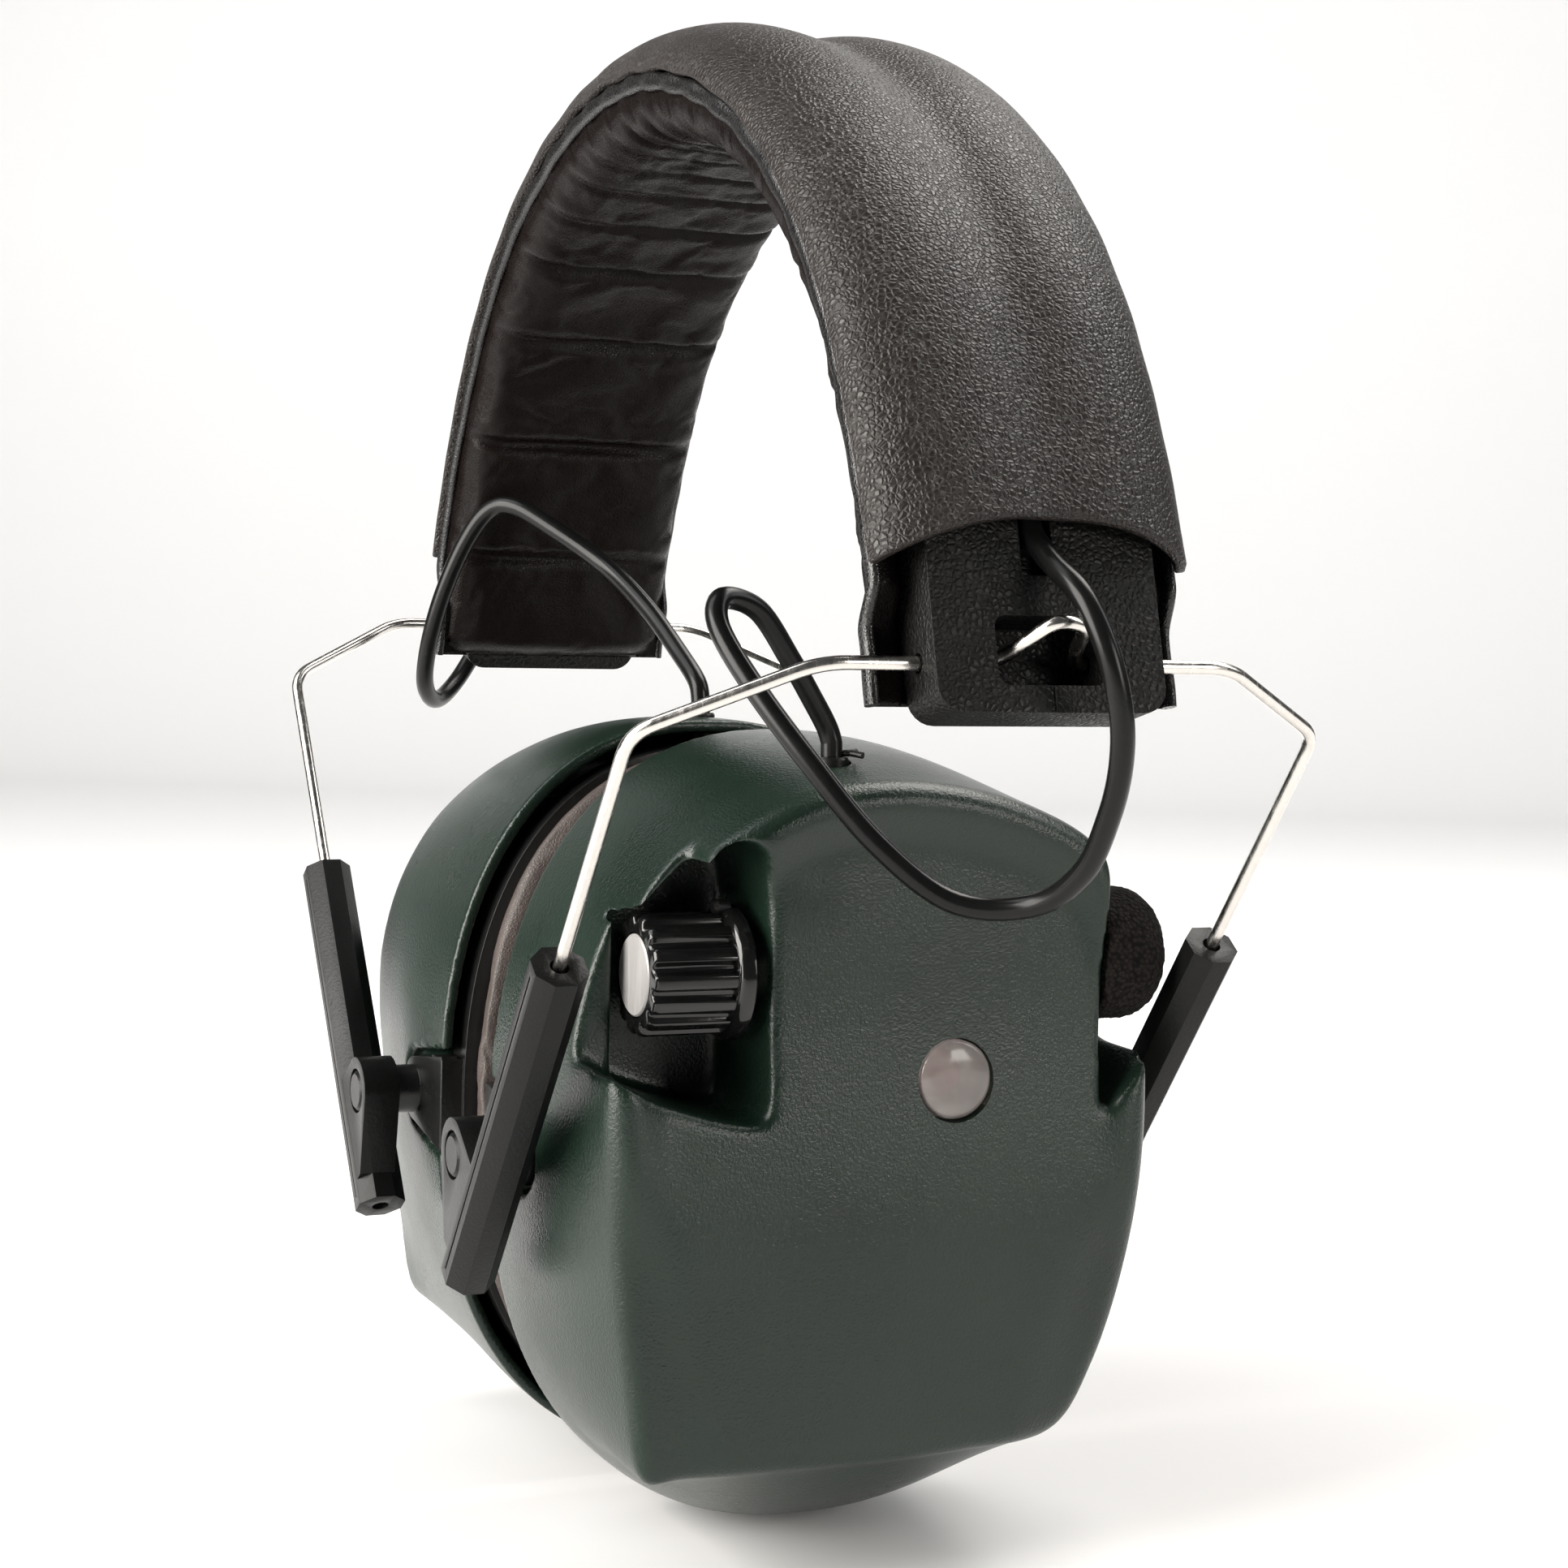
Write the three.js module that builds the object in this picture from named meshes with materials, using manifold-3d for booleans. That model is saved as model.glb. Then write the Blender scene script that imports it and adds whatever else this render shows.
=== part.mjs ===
// Electronic earmuff hearing protector: a padded spring headband, two end blocks, two wire yokes,
// four sliding sleeves and two cups that tilt on pins. Millimetres, +Z up, +X to the wearer's right,
// +Y to the front. The origin is the underside of the head pad at the crown.
import * as THREE from 'three';
import { mergeVertices } from 'three/addons/utils/BufferGeometryUtils.js';
import Module from 'manifold-3d';

const wasm = await Module();
wasm.setup();

// ---- driving dimensions -------------------------------------------------------------------------
const GAP = 0.3; // play between pieces that touch
const RAD = Math.PI / 180;

// headband: the seam line is two arcs, a round crown and a flatter leg
const PAD_DEPTH = 8; // seam line to the underside of the pad at the crown
const PAD_ARC_DEPTH = 7.6; // the rest of the pad, so the crown flat stands clear
const CROWN_R = 77.5;
const CROWN_ANGLE = 60 * RAD;
const LEG_R = 137;
const LEG_ANGLE = 75 * RAD;
const CROWN_CENTRE = { x: 0, z: PAD_DEPTH - CROWN_R };
const BAND_HALF_WIDTH = 18.4;
const COVER_RISE = 6;
const SPRING_HALF_WIDTH = 13;
const SPRING_THICKNESS = 1;
const PAD_SPLIT_X = 6; // the left half of the pad carries the flat at the crown
const LEAD_R = 1.35;
const LEAD_RISE = 3; // the hidden lead's height above the seam line
const CHANNEL_FLOOR = 0.3; // the end block's lead channel, in the block's frame
const LEAD_Y = -0.6;

// end block, in its own frame: +X outward, +Z up the leg, origin on the seam line's end
const BLOCK_OUT = 3.2;
const BLOCK_IN = 4.4;
const BLOCK_HALF_WIDTH = 14;
const BLOCK_BOTTOM = -6.5;
const BLOCK_TOP = 19;
const COVER_END = 13.6; // top of the cover's arched end, up the leg
const COVER_ARCH_R = 48;
const PAD_END = -4.5;
const PAD_THIN_ABOVE = 4; // below this height the pad stays behind the block
const WINDOW_HALF_WIDTH = 6.5;
const WINDOW_LOW = -3.5;
const WINDOW_HIGH = 4.1;

// yoke wire
const WIRE_R = 0.8;
const SWING = { x: 80, z: -64.4 }; // axis of the wire's cross part in the end block
const YOKE_SHOULDER_Y = 25.2;
const YOKE_HALF_WIDTH = 43.2;
const LEG_TOP = { x: 71, z: -72.5 };
const LEG_LEAN = 36.1 * RAD; // the wire's legs lean inward going down
const KINK_REACH = 8.2;
const KINK_ANGLE = 38 * RAD;
const WIRE_IN_SLEEVE = 18;

// sleeve and pivot
const SLEEVE_FROM_BEND = 34.1;
const SLEEVE_LENGTH = 53;
const SLEEVE_FLATS = 6.4;
const SLEEVE_BORE_R = 1.15;
const PIVOT = { x: 22, z: -127.2 };
const EAR_R = 4.6;
const SLEEVE_TO_PIVOT = 7.4; // from the pivot out to the sleeve's axis
const LUG_DROP = 10.5;
const EAR_INNER_Y = 41.4;
const EAR_OUTER_Y = YOKE_HALF_WIDTH + SLEEVE_FLATS / 2;
const BOSS_OUTER_Y = EAR_INNER_Y - GAP;
const BOSS_R = 3.3;
const PIN_R = 1.5;
const PIN_HEAD_R = 2.75;
const PIN_HEAD_THICKNESS = 0.9;

// cup: outline at each depth from the rim outward, [x, half width, top, bottom, squareness]
const CUP_STATIONS = [
  [10.2, 38.0, -75.5, -177.5, 2.3],
  [24.0, 37.8, -76.0, -175.5, 2.4],
  [34.0, 37.2, -77.0, -172.0, 2.6],
  [42.0, 36.4, -78.6, -166.5, 2.8],
  [46.6, 35.4, -80.2, -162.0, 2.9],
  [49.5, 31.0, -84.6, -157.6, 2.8],
];
const SHELL_WALL = 2.2;
const CUP_MID_Z = -126.5;
const FACE_X = 49.5;
const PLATE_X = [8.8, 14.2];
const PLATE_OUTLINE = { halfWidth: 35.2, halfHeight: 47.5, power: 2.3 };
const PLATE_HOLE = { halfWidth: 22, halfHeight: 34, power: 2.2 };
const CUSHION_X = [1.15, 8.5];
const CUSHION_HOLE = { halfWidth: 17, halfHeight: 28, power: 2.2 };
const KNOB = { x: 40, z: -103, r: 7.3, back: -17.4, front: -30 };
const KNOB_WALL_Y = -15.6;
const MIC = { x: 41, z: -102, r: 8.5, back: 29.8, front: 39.6 };
const MIC_WALL_Y = 29.5;
const LENS = { y: 9, z: -116, r: 4.9 };
const BOARD_X = 35.5;
// where each lead enters its cup, both given as for the wearer's right
const LEAD_ENTRY = {
  right: { x: 39, y: -4.5, z: -78 },
  left: { x: 23, y: 3.6, z: -76 },
};

// ---- materials ----------------------------------------------------------------------------------
const finishes = {
  vinyl: { color: 0x2f2a28, roughness: 0.45, metalness: 0 },
  padVinyl: { color: 0x221d1c, roughness: 0.35, metalness: 0 },
  spring: { color: 0x9a9ca0, roughness: 0.35, metalness: 1 },
  black: { color: 0x1b1b1d, roughness: 0.5, metalness: 0 },
  wire: { color: 0xc9c6c2, roughness: 0.25, metalness: 1 },
  green: { color: 0x22332d, roughness: 0.45, metalness: 0 },
  cushion: { color: 0x2b2422, roughness: 0.5, metalness: 0 },
  foam: { color: 0x2c2826, roughness: 0.95, metalness: 0 },
  knob: { color: 0x101011, roughness: 0.15, metalness: 0 },
  silver: { color: 0xc8c8ca, roughness: 0.3, metalness: 1 },
  lens: { color: 0xb9b2ae, roughness: 0.1, metalness: 0 },
  red: { color: 0xb03030, roughness: 0.3, metalness: 0 },
  board: { color: 0x1f5a35, roughness: 0.5, metalness: 0 },
  cell: { color: 0x6f7478, roughness: 0.35, metalness: 0.5 },
  lead: { color: 0x141414, roughness: 0.25, metalness: 0 },
};

const model = new THREE.Group();

function addPiece(name, geometry, finish) {
  const mesh = new THREE.Mesh(geometry, new THREE.MeshStandardMaterial(finishes[finish]));
  mesh.name = name;
  model.add(mesh);
  return mesh;
}

// ---- solids -------------------------------------------------------------------------------------
function toSolid(geometry) {
  const plain = geometry.clone();
  plain.deleteAttribute('normal');
  plain.deleteAttribute('uv');
  const merged = mergeVertices(plain, 1e-4);
  const mesh = new wasm.Mesh({
    numProp: 3,
    vertProperties: new Float32Array(merged.attributes.position.array),
    triVerts: new Uint32Array(merged.index.array),
  });
  return new wasm.Manifold(mesh);
}

function toGeometry(solid) {
  const mesh = solid.getMesh();
  const geometry = new THREE.BufferGeometry();
  geometry.setAttribute('position', new THREE.BufferAttribute(new Float32Array(mesh.vertProperties), 3));
  geometry.setIndex(new THREE.BufferAttribute(new Uint32Array(mesh.triVerts), 1));
  geometry.computeVertexNormals();
  return geometry;
}

function cut(base, ...tools) {
  return tools.reduce((left, tool) => left.subtract(tool), base);
}

function join(base, ...others) {
  return others.reduce((sum, other) => sum.add(other), base);
}

function box(x, y, z) {
  const geometry = new THREE.BoxGeometry(x[1] - x[0], y[1] - y[0], z[1] - z[0]);
  geometry.translate((x[0] + x[1]) / 2, (y[0] + y[1]) / 2, (z[0] + z[1]) / 2);
  return toSolid(geometry);
}

// a cylinder along Y from y0 to y1, standing at x, z
function rodY(radius, x, z, y0, y1, sides = 20) {
  const geometry = new THREE.CylinderGeometry(radius, radius, Math.abs(y1 - y0), sides);
  geometry.translate(x, (y0 + y1) / 2, z);
  return toSolid(geometry);
}

// a cylinder along X from x0 to x1, standing at y, z
function rodX(radius, y, z, x0, x1, sides = 24) {
  const geometry = new THREE.CylinderGeometry(radius, radius, x1 - x0, sides);
  geometry.rotateZ(Math.PI / 2);
  geometry.translate((x0 + x1) / 2, y, z);
  return toSolid(geometry);
}

// mirrors a geometry from the wearer's right to the left, keeping its faces outward
function mirrored(geometry) {
  const copy = geometry.clone();
  copy.scale(-1, 1, 1);
  const indexed = copy.index ? copy : mergeVertices(copy);
  const index = indexed.index.array;
  for (let i = 0; i < index.length; i += 3) {
    [index[i], index[i + 1]] = [index[i + 1], index[i]];
  }
  indexed.computeVertexNormals();
  return indexed;
}

function onSide(side, solid) {
  const geometry = toGeometry(solid);
  return side === 'right' ? geometry : mirrored(geometry);
}

// mirrors a solid from the rear to the front
function toFront(solid) {
  return solid.mirror([0, 1, 0]);
}

// ---- headband -----------------------------------------------------------------------------------
// a point on the right half of the seam line, at an angle from the crown and a depth inward
function seamPoint(angle, inward = 0) {
  if (angle <= CROWN_ANGLE) {
    const r = CROWN_R - inward;
    return new THREE.Vector3(r * Math.sin(angle), 0, CROWN_CENTRE.z + r * Math.cos(angle));
  }
  const shift = CROWN_R - LEG_R;
  const r = LEG_R - inward;
  return new THREE.Vector3(
    shift * Math.sin(CROWN_ANGLE) + r * Math.sin(angle),
    0,
    CROWN_CENTRE.z + shift * Math.cos(CROWN_ANGLE) + r * Math.cos(angle),
  );
}

// the seam line from the crown down the right leg, run on past the block by extra degrees
class SeamCurve extends THREE.Curve {
  constructor(startX, endAngle, inward = 0, y = 0) {
    super();
    this.startAngle = Math.asin(startX / (CROWN_R - inward));
    this.endAngle = endAngle;
    this.inward = inward;
    this.y = y;
  }

  getPoint(t, target = new THREE.Vector3()) {
    const crownLength = (CROWN_ANGLE - this.startAngle) * CROWN_R;
    const legLength = (this.endAngle - CROWN_ANGLE) * LEG_R;
    const s = t * (crownLength + legLength);
    const angle = s < crownLength
      ? this.startAngle + s / CROWN_R
      : CROWN_ANGLE + (s - crownLength) / LEG_R;
    const point = seamPoint(angle, this.inward);
    return target.set(point.x, this.y, point.z);
  }
}

// sweeps a section down the leg; the section's x is the band's width, its y is inward
function sweepBand(section, curve, steps) {
  return toSolid(new THREE.ExtrudeGeometry(section, { steps, bevelEnabled: false, extrudePath: curve }));
}

function coverSection() {
  const section = new THREE.Shape();
  section.moveTo(-BAND_HALF_WIDTH, -0.4);
  section.lineTo(BAND_HALF_WIDTH, -0.4);
  section.lineTo(BAND_HALF_WIDTH - 0.4, -2.4);
  section.lineTo(12.5, -COVER_RISE + 0.8);
  section.lineTo(6.5, -COVER_RISE);
  section.lineTo(0, -COVER_RISE + 0.5);
  section.lineTo(-6.5, -COVER_RISE);
  section.lineTo(-12.5, -COVER_RISE + 0.8);
  section.lineTo(-BAND_HALF_WIDTH + 0.4, -2.4);
  section.closePath();
  return section;
}

function padSection(depth) {
  const section = new THREE.Shape();
  const top = SPRING_THICKNESS + GAP;
  section.moveTo(-BAND_HALF_WIDTH, top);
  section.lineTo(BAND_HALF_WIDTH, top);
  section.lineTo(BAND_HALF_WIDTH - 0.3, 4.2);
  section.lineTo(14, depth);
  section.lineTo(-14, depth);
  section.lineTo(-BAND_HALF_WIDTH + 0.3, 4.2);
  section.closePath();
  return section;
}

function rectangle(halfWidth, y0, y1) {
  const section = new THREE.Shape();
  section.moveTo(-halfWidth, y0);
  section.lineTo(halfWidth, y0);
  section.lineTo(halfWidth, y1);
  section.lineTo(-halfWidth, y1);
  section.closePath();
  return section;
}

function roundSection(radius, sides) {
  const section = new THREE.Shape();
  for (let i = 0; i < sides; i += 1) {
    const angle = ((i + 0.5) / sides) * 2 * Math.PI;
    const [x, y] = [radius * Math.cos(angle), radius * Math.sin(angle)];
    if (i === 0) section.moveTo(x, y);
    else section.lineTo(x, y);
  }
  section.closePath();
  return section;
}

// moves a solid from the end block's frame to the model's
function fromBlockFrame(solid) {
  const end = seamPoint(LEG_ANGLE);
  return solid.rotate([0, LEG_ANGLE / RAD - 90, 0]).translate([end.x, 0, end.z]);
}

function blockEnvelope(play) {
  return fromBlockFrame(box(
    [-BLOCK_IN - play, BLOCK_OUT + play],
    [-BLOCK_HALF_WIDTH - play, BLOCK_HALF_WIDTH + play],
    [BLOCK_BOTTOM - play, BLOCK_TOP + play],
  ));
}

// everything below a height up the leg
function belowLeg(height) {
  return fromBlockFrame(box([-60, 60], [-60, 60], [-80, height]));
}

function springSolid(play) {
  const section = rectangle(SPRING_HALF_WIDTH + play, -play, SPRING_THICKNESS + play);
  const curve = new SeamCurve(GAP / 2, LEG_ANGLE);
  const strip = sweepBand(section, curve, 20);
  return strip.subtract(belowLeg(12 - play));
}

function leadGroove() {
  const curve = new SeamCurve(0, LEG_ANGLE, -LEAD_RISE, LEAD_Y);
  return sweepBand(roundSection(LEAD_R + 0.5, 6), curve, 16);
}

function headbandCover() {
  const curve = new SeamCurve(GAP / 2, LEG_ANGLE);
  const arch = new THREE.CylinderGeometry(COVER_ARCH_R, COVER_ARCH_R, 40, 72);
  arch.rotateZ(Math.PI / 2);
  arch.translate(0, 0, COVER_END - COVER_ARCH_R);
  return cut(
    sweepBand(coverSection(), curve, 20),
    blockEnvelope(GAP),
    fromBlockFrame(toSolid(arch)),
    leadGroove(),
  );
}

// the hidden part of the lead, from the crown to the cover's arched end
function bandLead() {
  const curve = new SeamCurve(GAP / 2, LEG_ANGLE, -LEAD_RISE, LEAD_Y);
  return sweepBand(roundSection(LEAD_R, 6), curve, 16).subtract(belowLeg(COVER_END + 3));
}

function headbandPad(startX) {
  const curve = new SeamCurve(startX, LEG_ANGLE + 2 * RAD);
  const behindBlock = fromBlockFrame(box(
    [-BLOCK_IN - GAP, BLOCK_OUT],
    [-BAND_HALF_WIDTH - 1, BAND_HALF_WIDTH + 1],
    [BLOCK_BOTTOM, PAD_THIN_ABOVE],
  ));
  return cut(
    sweepBand(padSection(PAD_ARC_DEPTH), curve, 20),
    blockEnvelope(GAP),
    behindBlock,
    belowLeg(PAD_END),
  );
}

// the crown flat: the pad's middle piece, straight across the top of the arch
function crownFlat() {
  const geometry = new THREE.ExtrudeGeometry(padSection(PAD_DEPTH), {
    depth: 2 * PAD_SPLIT_X,
    bevelEnabled: false,
  });
  const turn = new THREE.Matrix4().makeBasis(
    new THREE.Vector3(0, -1, 0),
    new THREE.Vector3(0, 0, -1),
    new THREE.Vector3(1, 0, 0),
  );
  geometry.applyMatrix4(turn);
  geometry.translate(-PAD_SPLIT_X, 0, PAD_DEPTH);
  return toSolid(geometry);
}

function endBlock() {
  const body = box(
    [-BLOCK_IN, BLOCK_OUT],
    [-BLOCK_HALF_WIDTH, BLOCK_HALF_WIDTH],
    [BLOCK_BOTTOM, BLOCK_TOP],
  );
  const floor = -BLOCK_IN + 1;
  const window = box([floor, 10], [-WINDOW_HALF_WIDTH, WINDOW_HALF_WIDTH], [WINDOW_LOW, WINDOW_HIGH]);
  const channelHalfWidth = LEAD_R + 2 * GAP;
  const channel = box(
    [CHANNEL_FLOOR, 10],
    [LEAD_Y - channelHalfWidth, LEAD_Y + channelHalfWidth],
    [WINDOW_HIGH - 1, BLOCK_TOP + 1],
  );
  const placed = fromBlockFrame(cut(body, window, channel));
  const wireHole = rodY(WIRE_R + GAP, SWING.x, SWING.z, -20, 20, 12);
  return cut(placed, wireHole, springSolid(GAP));
}

// ---- yoke wire ----------------------------------------------------------------------------------
function legPoint(along, y) {
  return new THREE.Vector3(
    LEG_TOP.x - along * Math.sin(LEG_LEAN),
    y,
    LEG_TOP.z - along * Math.cos(LEG_LEAN),
  );
}

function kinkPoint(y, reach) {
  return new THREE.Vector3(
    SWING.x + reach * Math.cos(KINK_ANGLE),
    y,
    SWING.z + reach * Math.sin(KINK_ANGLE),
  );
}

// straight runs joined by round bends, each bend starting a radius away from its corner
function bentWire(corners, bend) {
  const path = new THREE.CurvePath();
  let from = corners[0];
  for (let i = 1; i < corners.length - 1; i += 1) {
    const corner = corners[i];
    const back = corners[i - 1].clone().sub(corner);
    const ahead = corners[i + 1].clone().sub(corner);
    const reach = Math.min(bend, 0.45 * back.length(), 0.45 * ahead.length());
    const start = corner.clone().addScaledVector(back.normalize(), reach);
    const end = corner.clone().addScaledVector(ahead.normalize(), reach);
    path.add(new THREE.LineCurve3(from, start));
    path.add(new THREE.QuadraticBezierCurve3(start, corner, end));
    from = end;
  }
  path.add(new THREE.LineCurve3(from, corners[corners.length - 1]));
  return path;
}

function yokeWire() {
  const legEnd = SLEEVE_FROM_BEND + WIRE_IN_SLEEVE;
  const corners = [
    legPoint(legEnd, -YOKE_HALF_WIDTH),
    legPoint(0, -YOKE_HALF_WIDTH),
    new THREE.Vector3(SWING.x, -YOKE_SHOULDER_Y, SWING.z),
    kinkPoint(-4.8, 0),
    kinkPoint(-0.8, KINK_REACH),
    kinkPoint(3.2, KINK_REACH - 1),
    kinkPoint(4.6, 0),
    new THREE.Vector3(SWING.x, YOKE_SHOULDER_Y, SWING.z),
    legPoint(0, YOKE_HALF_WIDTH),
    legPoint(legEnd, YOKE_HALF_WIDTH),
  ];
  const path = bentWire(corners, 3);
  return toSolid(new THREE.ExtrudeGeometry(roundSection(WIRE_R, 6), {
    steps: 76,
    bevelEnabled: false,
    extrudePath: path,
  }));
}

// ---- sleeves and pivots -------------------------------------------------------------------------
// the lug beside the rear sleeve: round about the pivot pin, running out along the sleeve below it
function sleeveLug() {
  const axis = SLEEVE_TO_PIVOT;
  const shape = new THREE.Shape();
  shape.moveTo(axis, EAR_R);
  shape.lineTo(0, EAR_R);
  shape.absarc(0, 0, EAR_R, Math.PI / 2, 1.2 * Math.PI, false);
  shape.lineTo(axis - SLEEVE_FLATS / 2, -LUG_DROP);
  shape.lineTo(axis, -LUG_DROP);
  shape.closePath();
  const thickness = EAR_OUTER_Y - EAR_INNER_Y - 0.01;
  const geometry = new THREE.ExtrudeGeometry(shape, {
    depth: thickness,
    bevelEnabled: false,
    curveSegments: 12,
  });
  geometry.rotateX(Math.PI / 2);
  geometry.translate(0, -EAR_INNER_Y, 0);
  geometry.rotateY(LEG_LEAN);
  geometry.translate(PIVOT.x, 0, PIVOT.z);
  return toSolid(geometry);
}

// the rear sleeve: an eight-sided tube with a lug for the pivot pin
function rearSleeve() {
  const outer = SLEEVE_FLATS / 2 / Math.cos(Math.PI / 8);
  const tube = new THREE.CylinderGeometry(outer, outer, SLEEVE_LENGTH, 8, 1, false, Math.PI / 8);
  const bore = new THREE.CylinderGeometry(SLEEVE_BORE_R, SLEEVE_BORE_R, SLEEVE_LENGTH + 4, 12);
  for (const geometry of [tube, bore]) {
    geometry.rotateX(Math.PI / 2);
    geometry.rotateY(LEG_LEAN);
    const middle = legPoint(SLEEVE_FROM_BEND + SLEEVE_LENGTH / 2, -YOKE_HALF_WIDTH);
    geometry.translate(middle.x, middle.y, middle.z);
  }
  const pinHole = rodY(PIN_R + GAP, PIVOT.x, PIVOT.z, -60, -30, 16);
  const headSeat = rodY(
    PIN_HEAD_R + GAP,
    PIVOT.x,
    PIVOT.z,
    -60,
    -EAR_OUTER_Y + PIN_HEAD_THICKNESS + GAP,
    20,
  );
  return cut(join(toSolid(tube), sleeveLug()), toSolid(bore), pinHole, headSeat);
}

function rearPin() {
  const headTop = -EAR_OUTER_Y;
  const head = rodY(PIN_HEAD_R, PIVOT.x, PIVOT.z, headTop, headTop + PIN_HEAD_THICKNESS, 20);
  const shaft = rodY(PIN_R, PIVOT.x, PIVOT.z, headTop + 0.5, -36.6, 16);
  return join(head, shaft);
}

// ---- cup ----------------------------------------------------------------------------------------
function signedPower(value, power) {
  return Math.sign(value) * Math.abs(value) ** power;
}

// a point on a rounded outline, at an angle from +Y
function outlinePoint(angle, halfWidth, halfHeight, middle, power) {
  return [
    halfWidth * signedPower(Math.cos(angle), 2 / power),
    middle + halfHeight * signedPower(Math.sin(angle), 2 / power),
  ];
}

// the cup's outer form, or its inner form when inset by the wall
function cupForm(inset) {
  const sides = 32;
  const last = CUP_STATIONS.length - 1;
  const geometry = new THREE.CylinderGeometry(1, 1, last, sides, last);
  const position = geometry.attributes.position;
  for (let i = 0; i < position.count; i += 1) {
    const level = Math.round(position.getY(i) + last / 2);
    const radius = Math.hypot(position.getX(i), position.getZ(i));
    const angle = Math.atan2(position.getX(i), position.getZ(i));
    const [depth, halfWidth, top, bottom, power] = CUP_STATIONS[level];
    const x = level === 0 ? depth - (inset > 0 ? 1 : 0) : depth - inset;
    const [y, z] = outlinePoint(
      angle,
      (halfWidth - inset) * Math.min(radius, 1),
      ((top - bottom) / 2 - inset) * Math.min(radius, 1),
      (top + bottom) / 2,
      power,
    );
    position.setXYZ(i, x, y, z);
  }
  return toSolid(geometry);
}

// a flat plate with a rounded outline, between two depths
function ovalPlate(x, outline, sides = 32) {
  const section = new THREE.Shape();
  for (let i = 0; i < sides; i += 1) {
    const angle = (i / sides) * 2 * Math.PI;
    const [y, z] = outlinePoint(angle, outline.halfWidth, outline.halfHeight, 0, outline.power);
    if (i === 0) section.moveTo(y, z);
    else section.lineTo(y, z);
  }
  section.closePath();
  const geometry = new THREE.ExtrudeGeometry(section, { depth: x[1] - x[0], bevelEnabled: false });
  geometry.rotateX(Math.PI / 2);
  geometry.rotateZ(Math.PI / 2);
  geometry.translate(x[0], 0, CUP_MID_Z);
  return toSolid(geometry);
}

function grown(outline, by) {
  return {
    halfWidth: outline.halfWidth + by,
    halfHeight: outline.halfHeight + by,
    power: outline.power,
  };
}

// the well that the volume knob turns in, grown on the inside by the wall
function knobWell(wall) {
  const outline = new THREE.Shape();
  outline.moveTo(KNOB_WALL_Y + wall, -84 + wall);
  outline.lineTo(KNOB_WALL_Y + wall, -121 - wall);
  outline.lineTo(-34 - wall, -112 - wall);
  outline.lineTo(-34 - wall, -95 + wall);
  outline.lineTo(-19, -84 + wall);
  outline.closePath();
  const geometry = new THREE.ExtrudeGeometry(outline, { depth: 30 + wall, bevelEnabled: false });
  geometry.rotateX(Math.PI / 2);
  geometry.rotateZ(Math.PI / 2);
  geometry.translate(31.6 - wall, 0, 0);
  return toSolid(geometry);
}

// the corner cut away for the microphone on the front side
function micCorner(wall) {
  return box([31.5 - wall, 70], [MIC_WALL_Y - wall, 60], [-116 - wall, -84 + wall]);
}

// a tongue from the cup's rim to a round end about the pivot, between two depths along Y
function pivotTongue(rootX, rootHalfWidth, endR, y) {
  const shape = new THREE.Shape();
  shape.moveTo(rootX, PIVOT.z - rootHalfWidth);
  shape.lineTo(PIVOT.x, PIVOT.z - endR);
  shape.absarc(PIVOT.x, PIVOT.z, endR, -Math.PI / 2, Math.PI / 2, false);
  shape.lineTo(rootX, PIVOT.z + rootHalfWidth);
  shape.closePath();
  const geometry = new THREE.ExtrudeGeometry(shape, {
    depth: y[1] - y[0],
    bevelEnabled: false,
    curveSegments: 12,
  });
  geometry.rotateX(Math.PI / 2);
  geometry.translate(0, y[1], 0);
  return toSolid(geometry);
}

// the shallow recess that each ear of the rim plate lies in
function pivotRecess(wall) {
  return pivotTongue(5, 8 + wall, 5.6 + wall, [35.6 - wall, 60]);
}

function batteryOpening(play) {
  return box([44, 60], [-15 + play, 15 - play], [-150 + play, -108 - play]);
}

function recesses(side, wall) {
  const list = [micCorner(wall), pivotRecess(wall), toFront(pivotRecess(wall))];
  if (side === 'right') list.push(knobWell(wall));
  return list;
}

// the notch in the rim that an ear of the rim plate passes through, wider inside for the plate's edge
function earNotch() {
  const x = [5, PLATE_X[1] + GAP];
  const inner = PLATE_OUTLINE.halfWidth + GAP;
  return join(
    box(x, [32, 60], [PIVOT.z - 7.2, PIVOT.z + 7.2]),
    box(x, [32, inner], [PIVOT.z - 10.6, PIVOT.z + 10.6]),
  );
}

function cupShell(side) {
  const inside = cut(cupForm(SHELL_WALL), ...recesses(side, SHELL_WALL));
  const entry = LEAD_ENTRY[side];
  const openings = [
    earNotch(),
    toFront(earNotch()),
    rodY(2.2, MIC.x, MIC.z, MIC_WALL_Y - SHELL_WALL - 1, MIC_WALL_Y + 1, 12),
    toSolid(new THREE.CylinderGeometry(2.4, 2.4, 12, 16)
      .rotateX(Math.PI / 2)
      .translate(entry.x, entry.y, entry.z)),
  ];
  if (side === 'right') {
    openings.push(
      rodY(2.2, KNOB.x, KNOB.z, KNOB_WALL_Y - 1, KNOB_WALL_Y + SHELL_WALL + 1, 16),
      rodX(LENS.r + GAP, LENS.y, LENS.z, 40, 60),
    );
  } else {
    openings.push(batteryOpening(0));
  }
  return cut(cupForm(0), ...recesses(side, 0), inside, ...openings);
}

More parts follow.
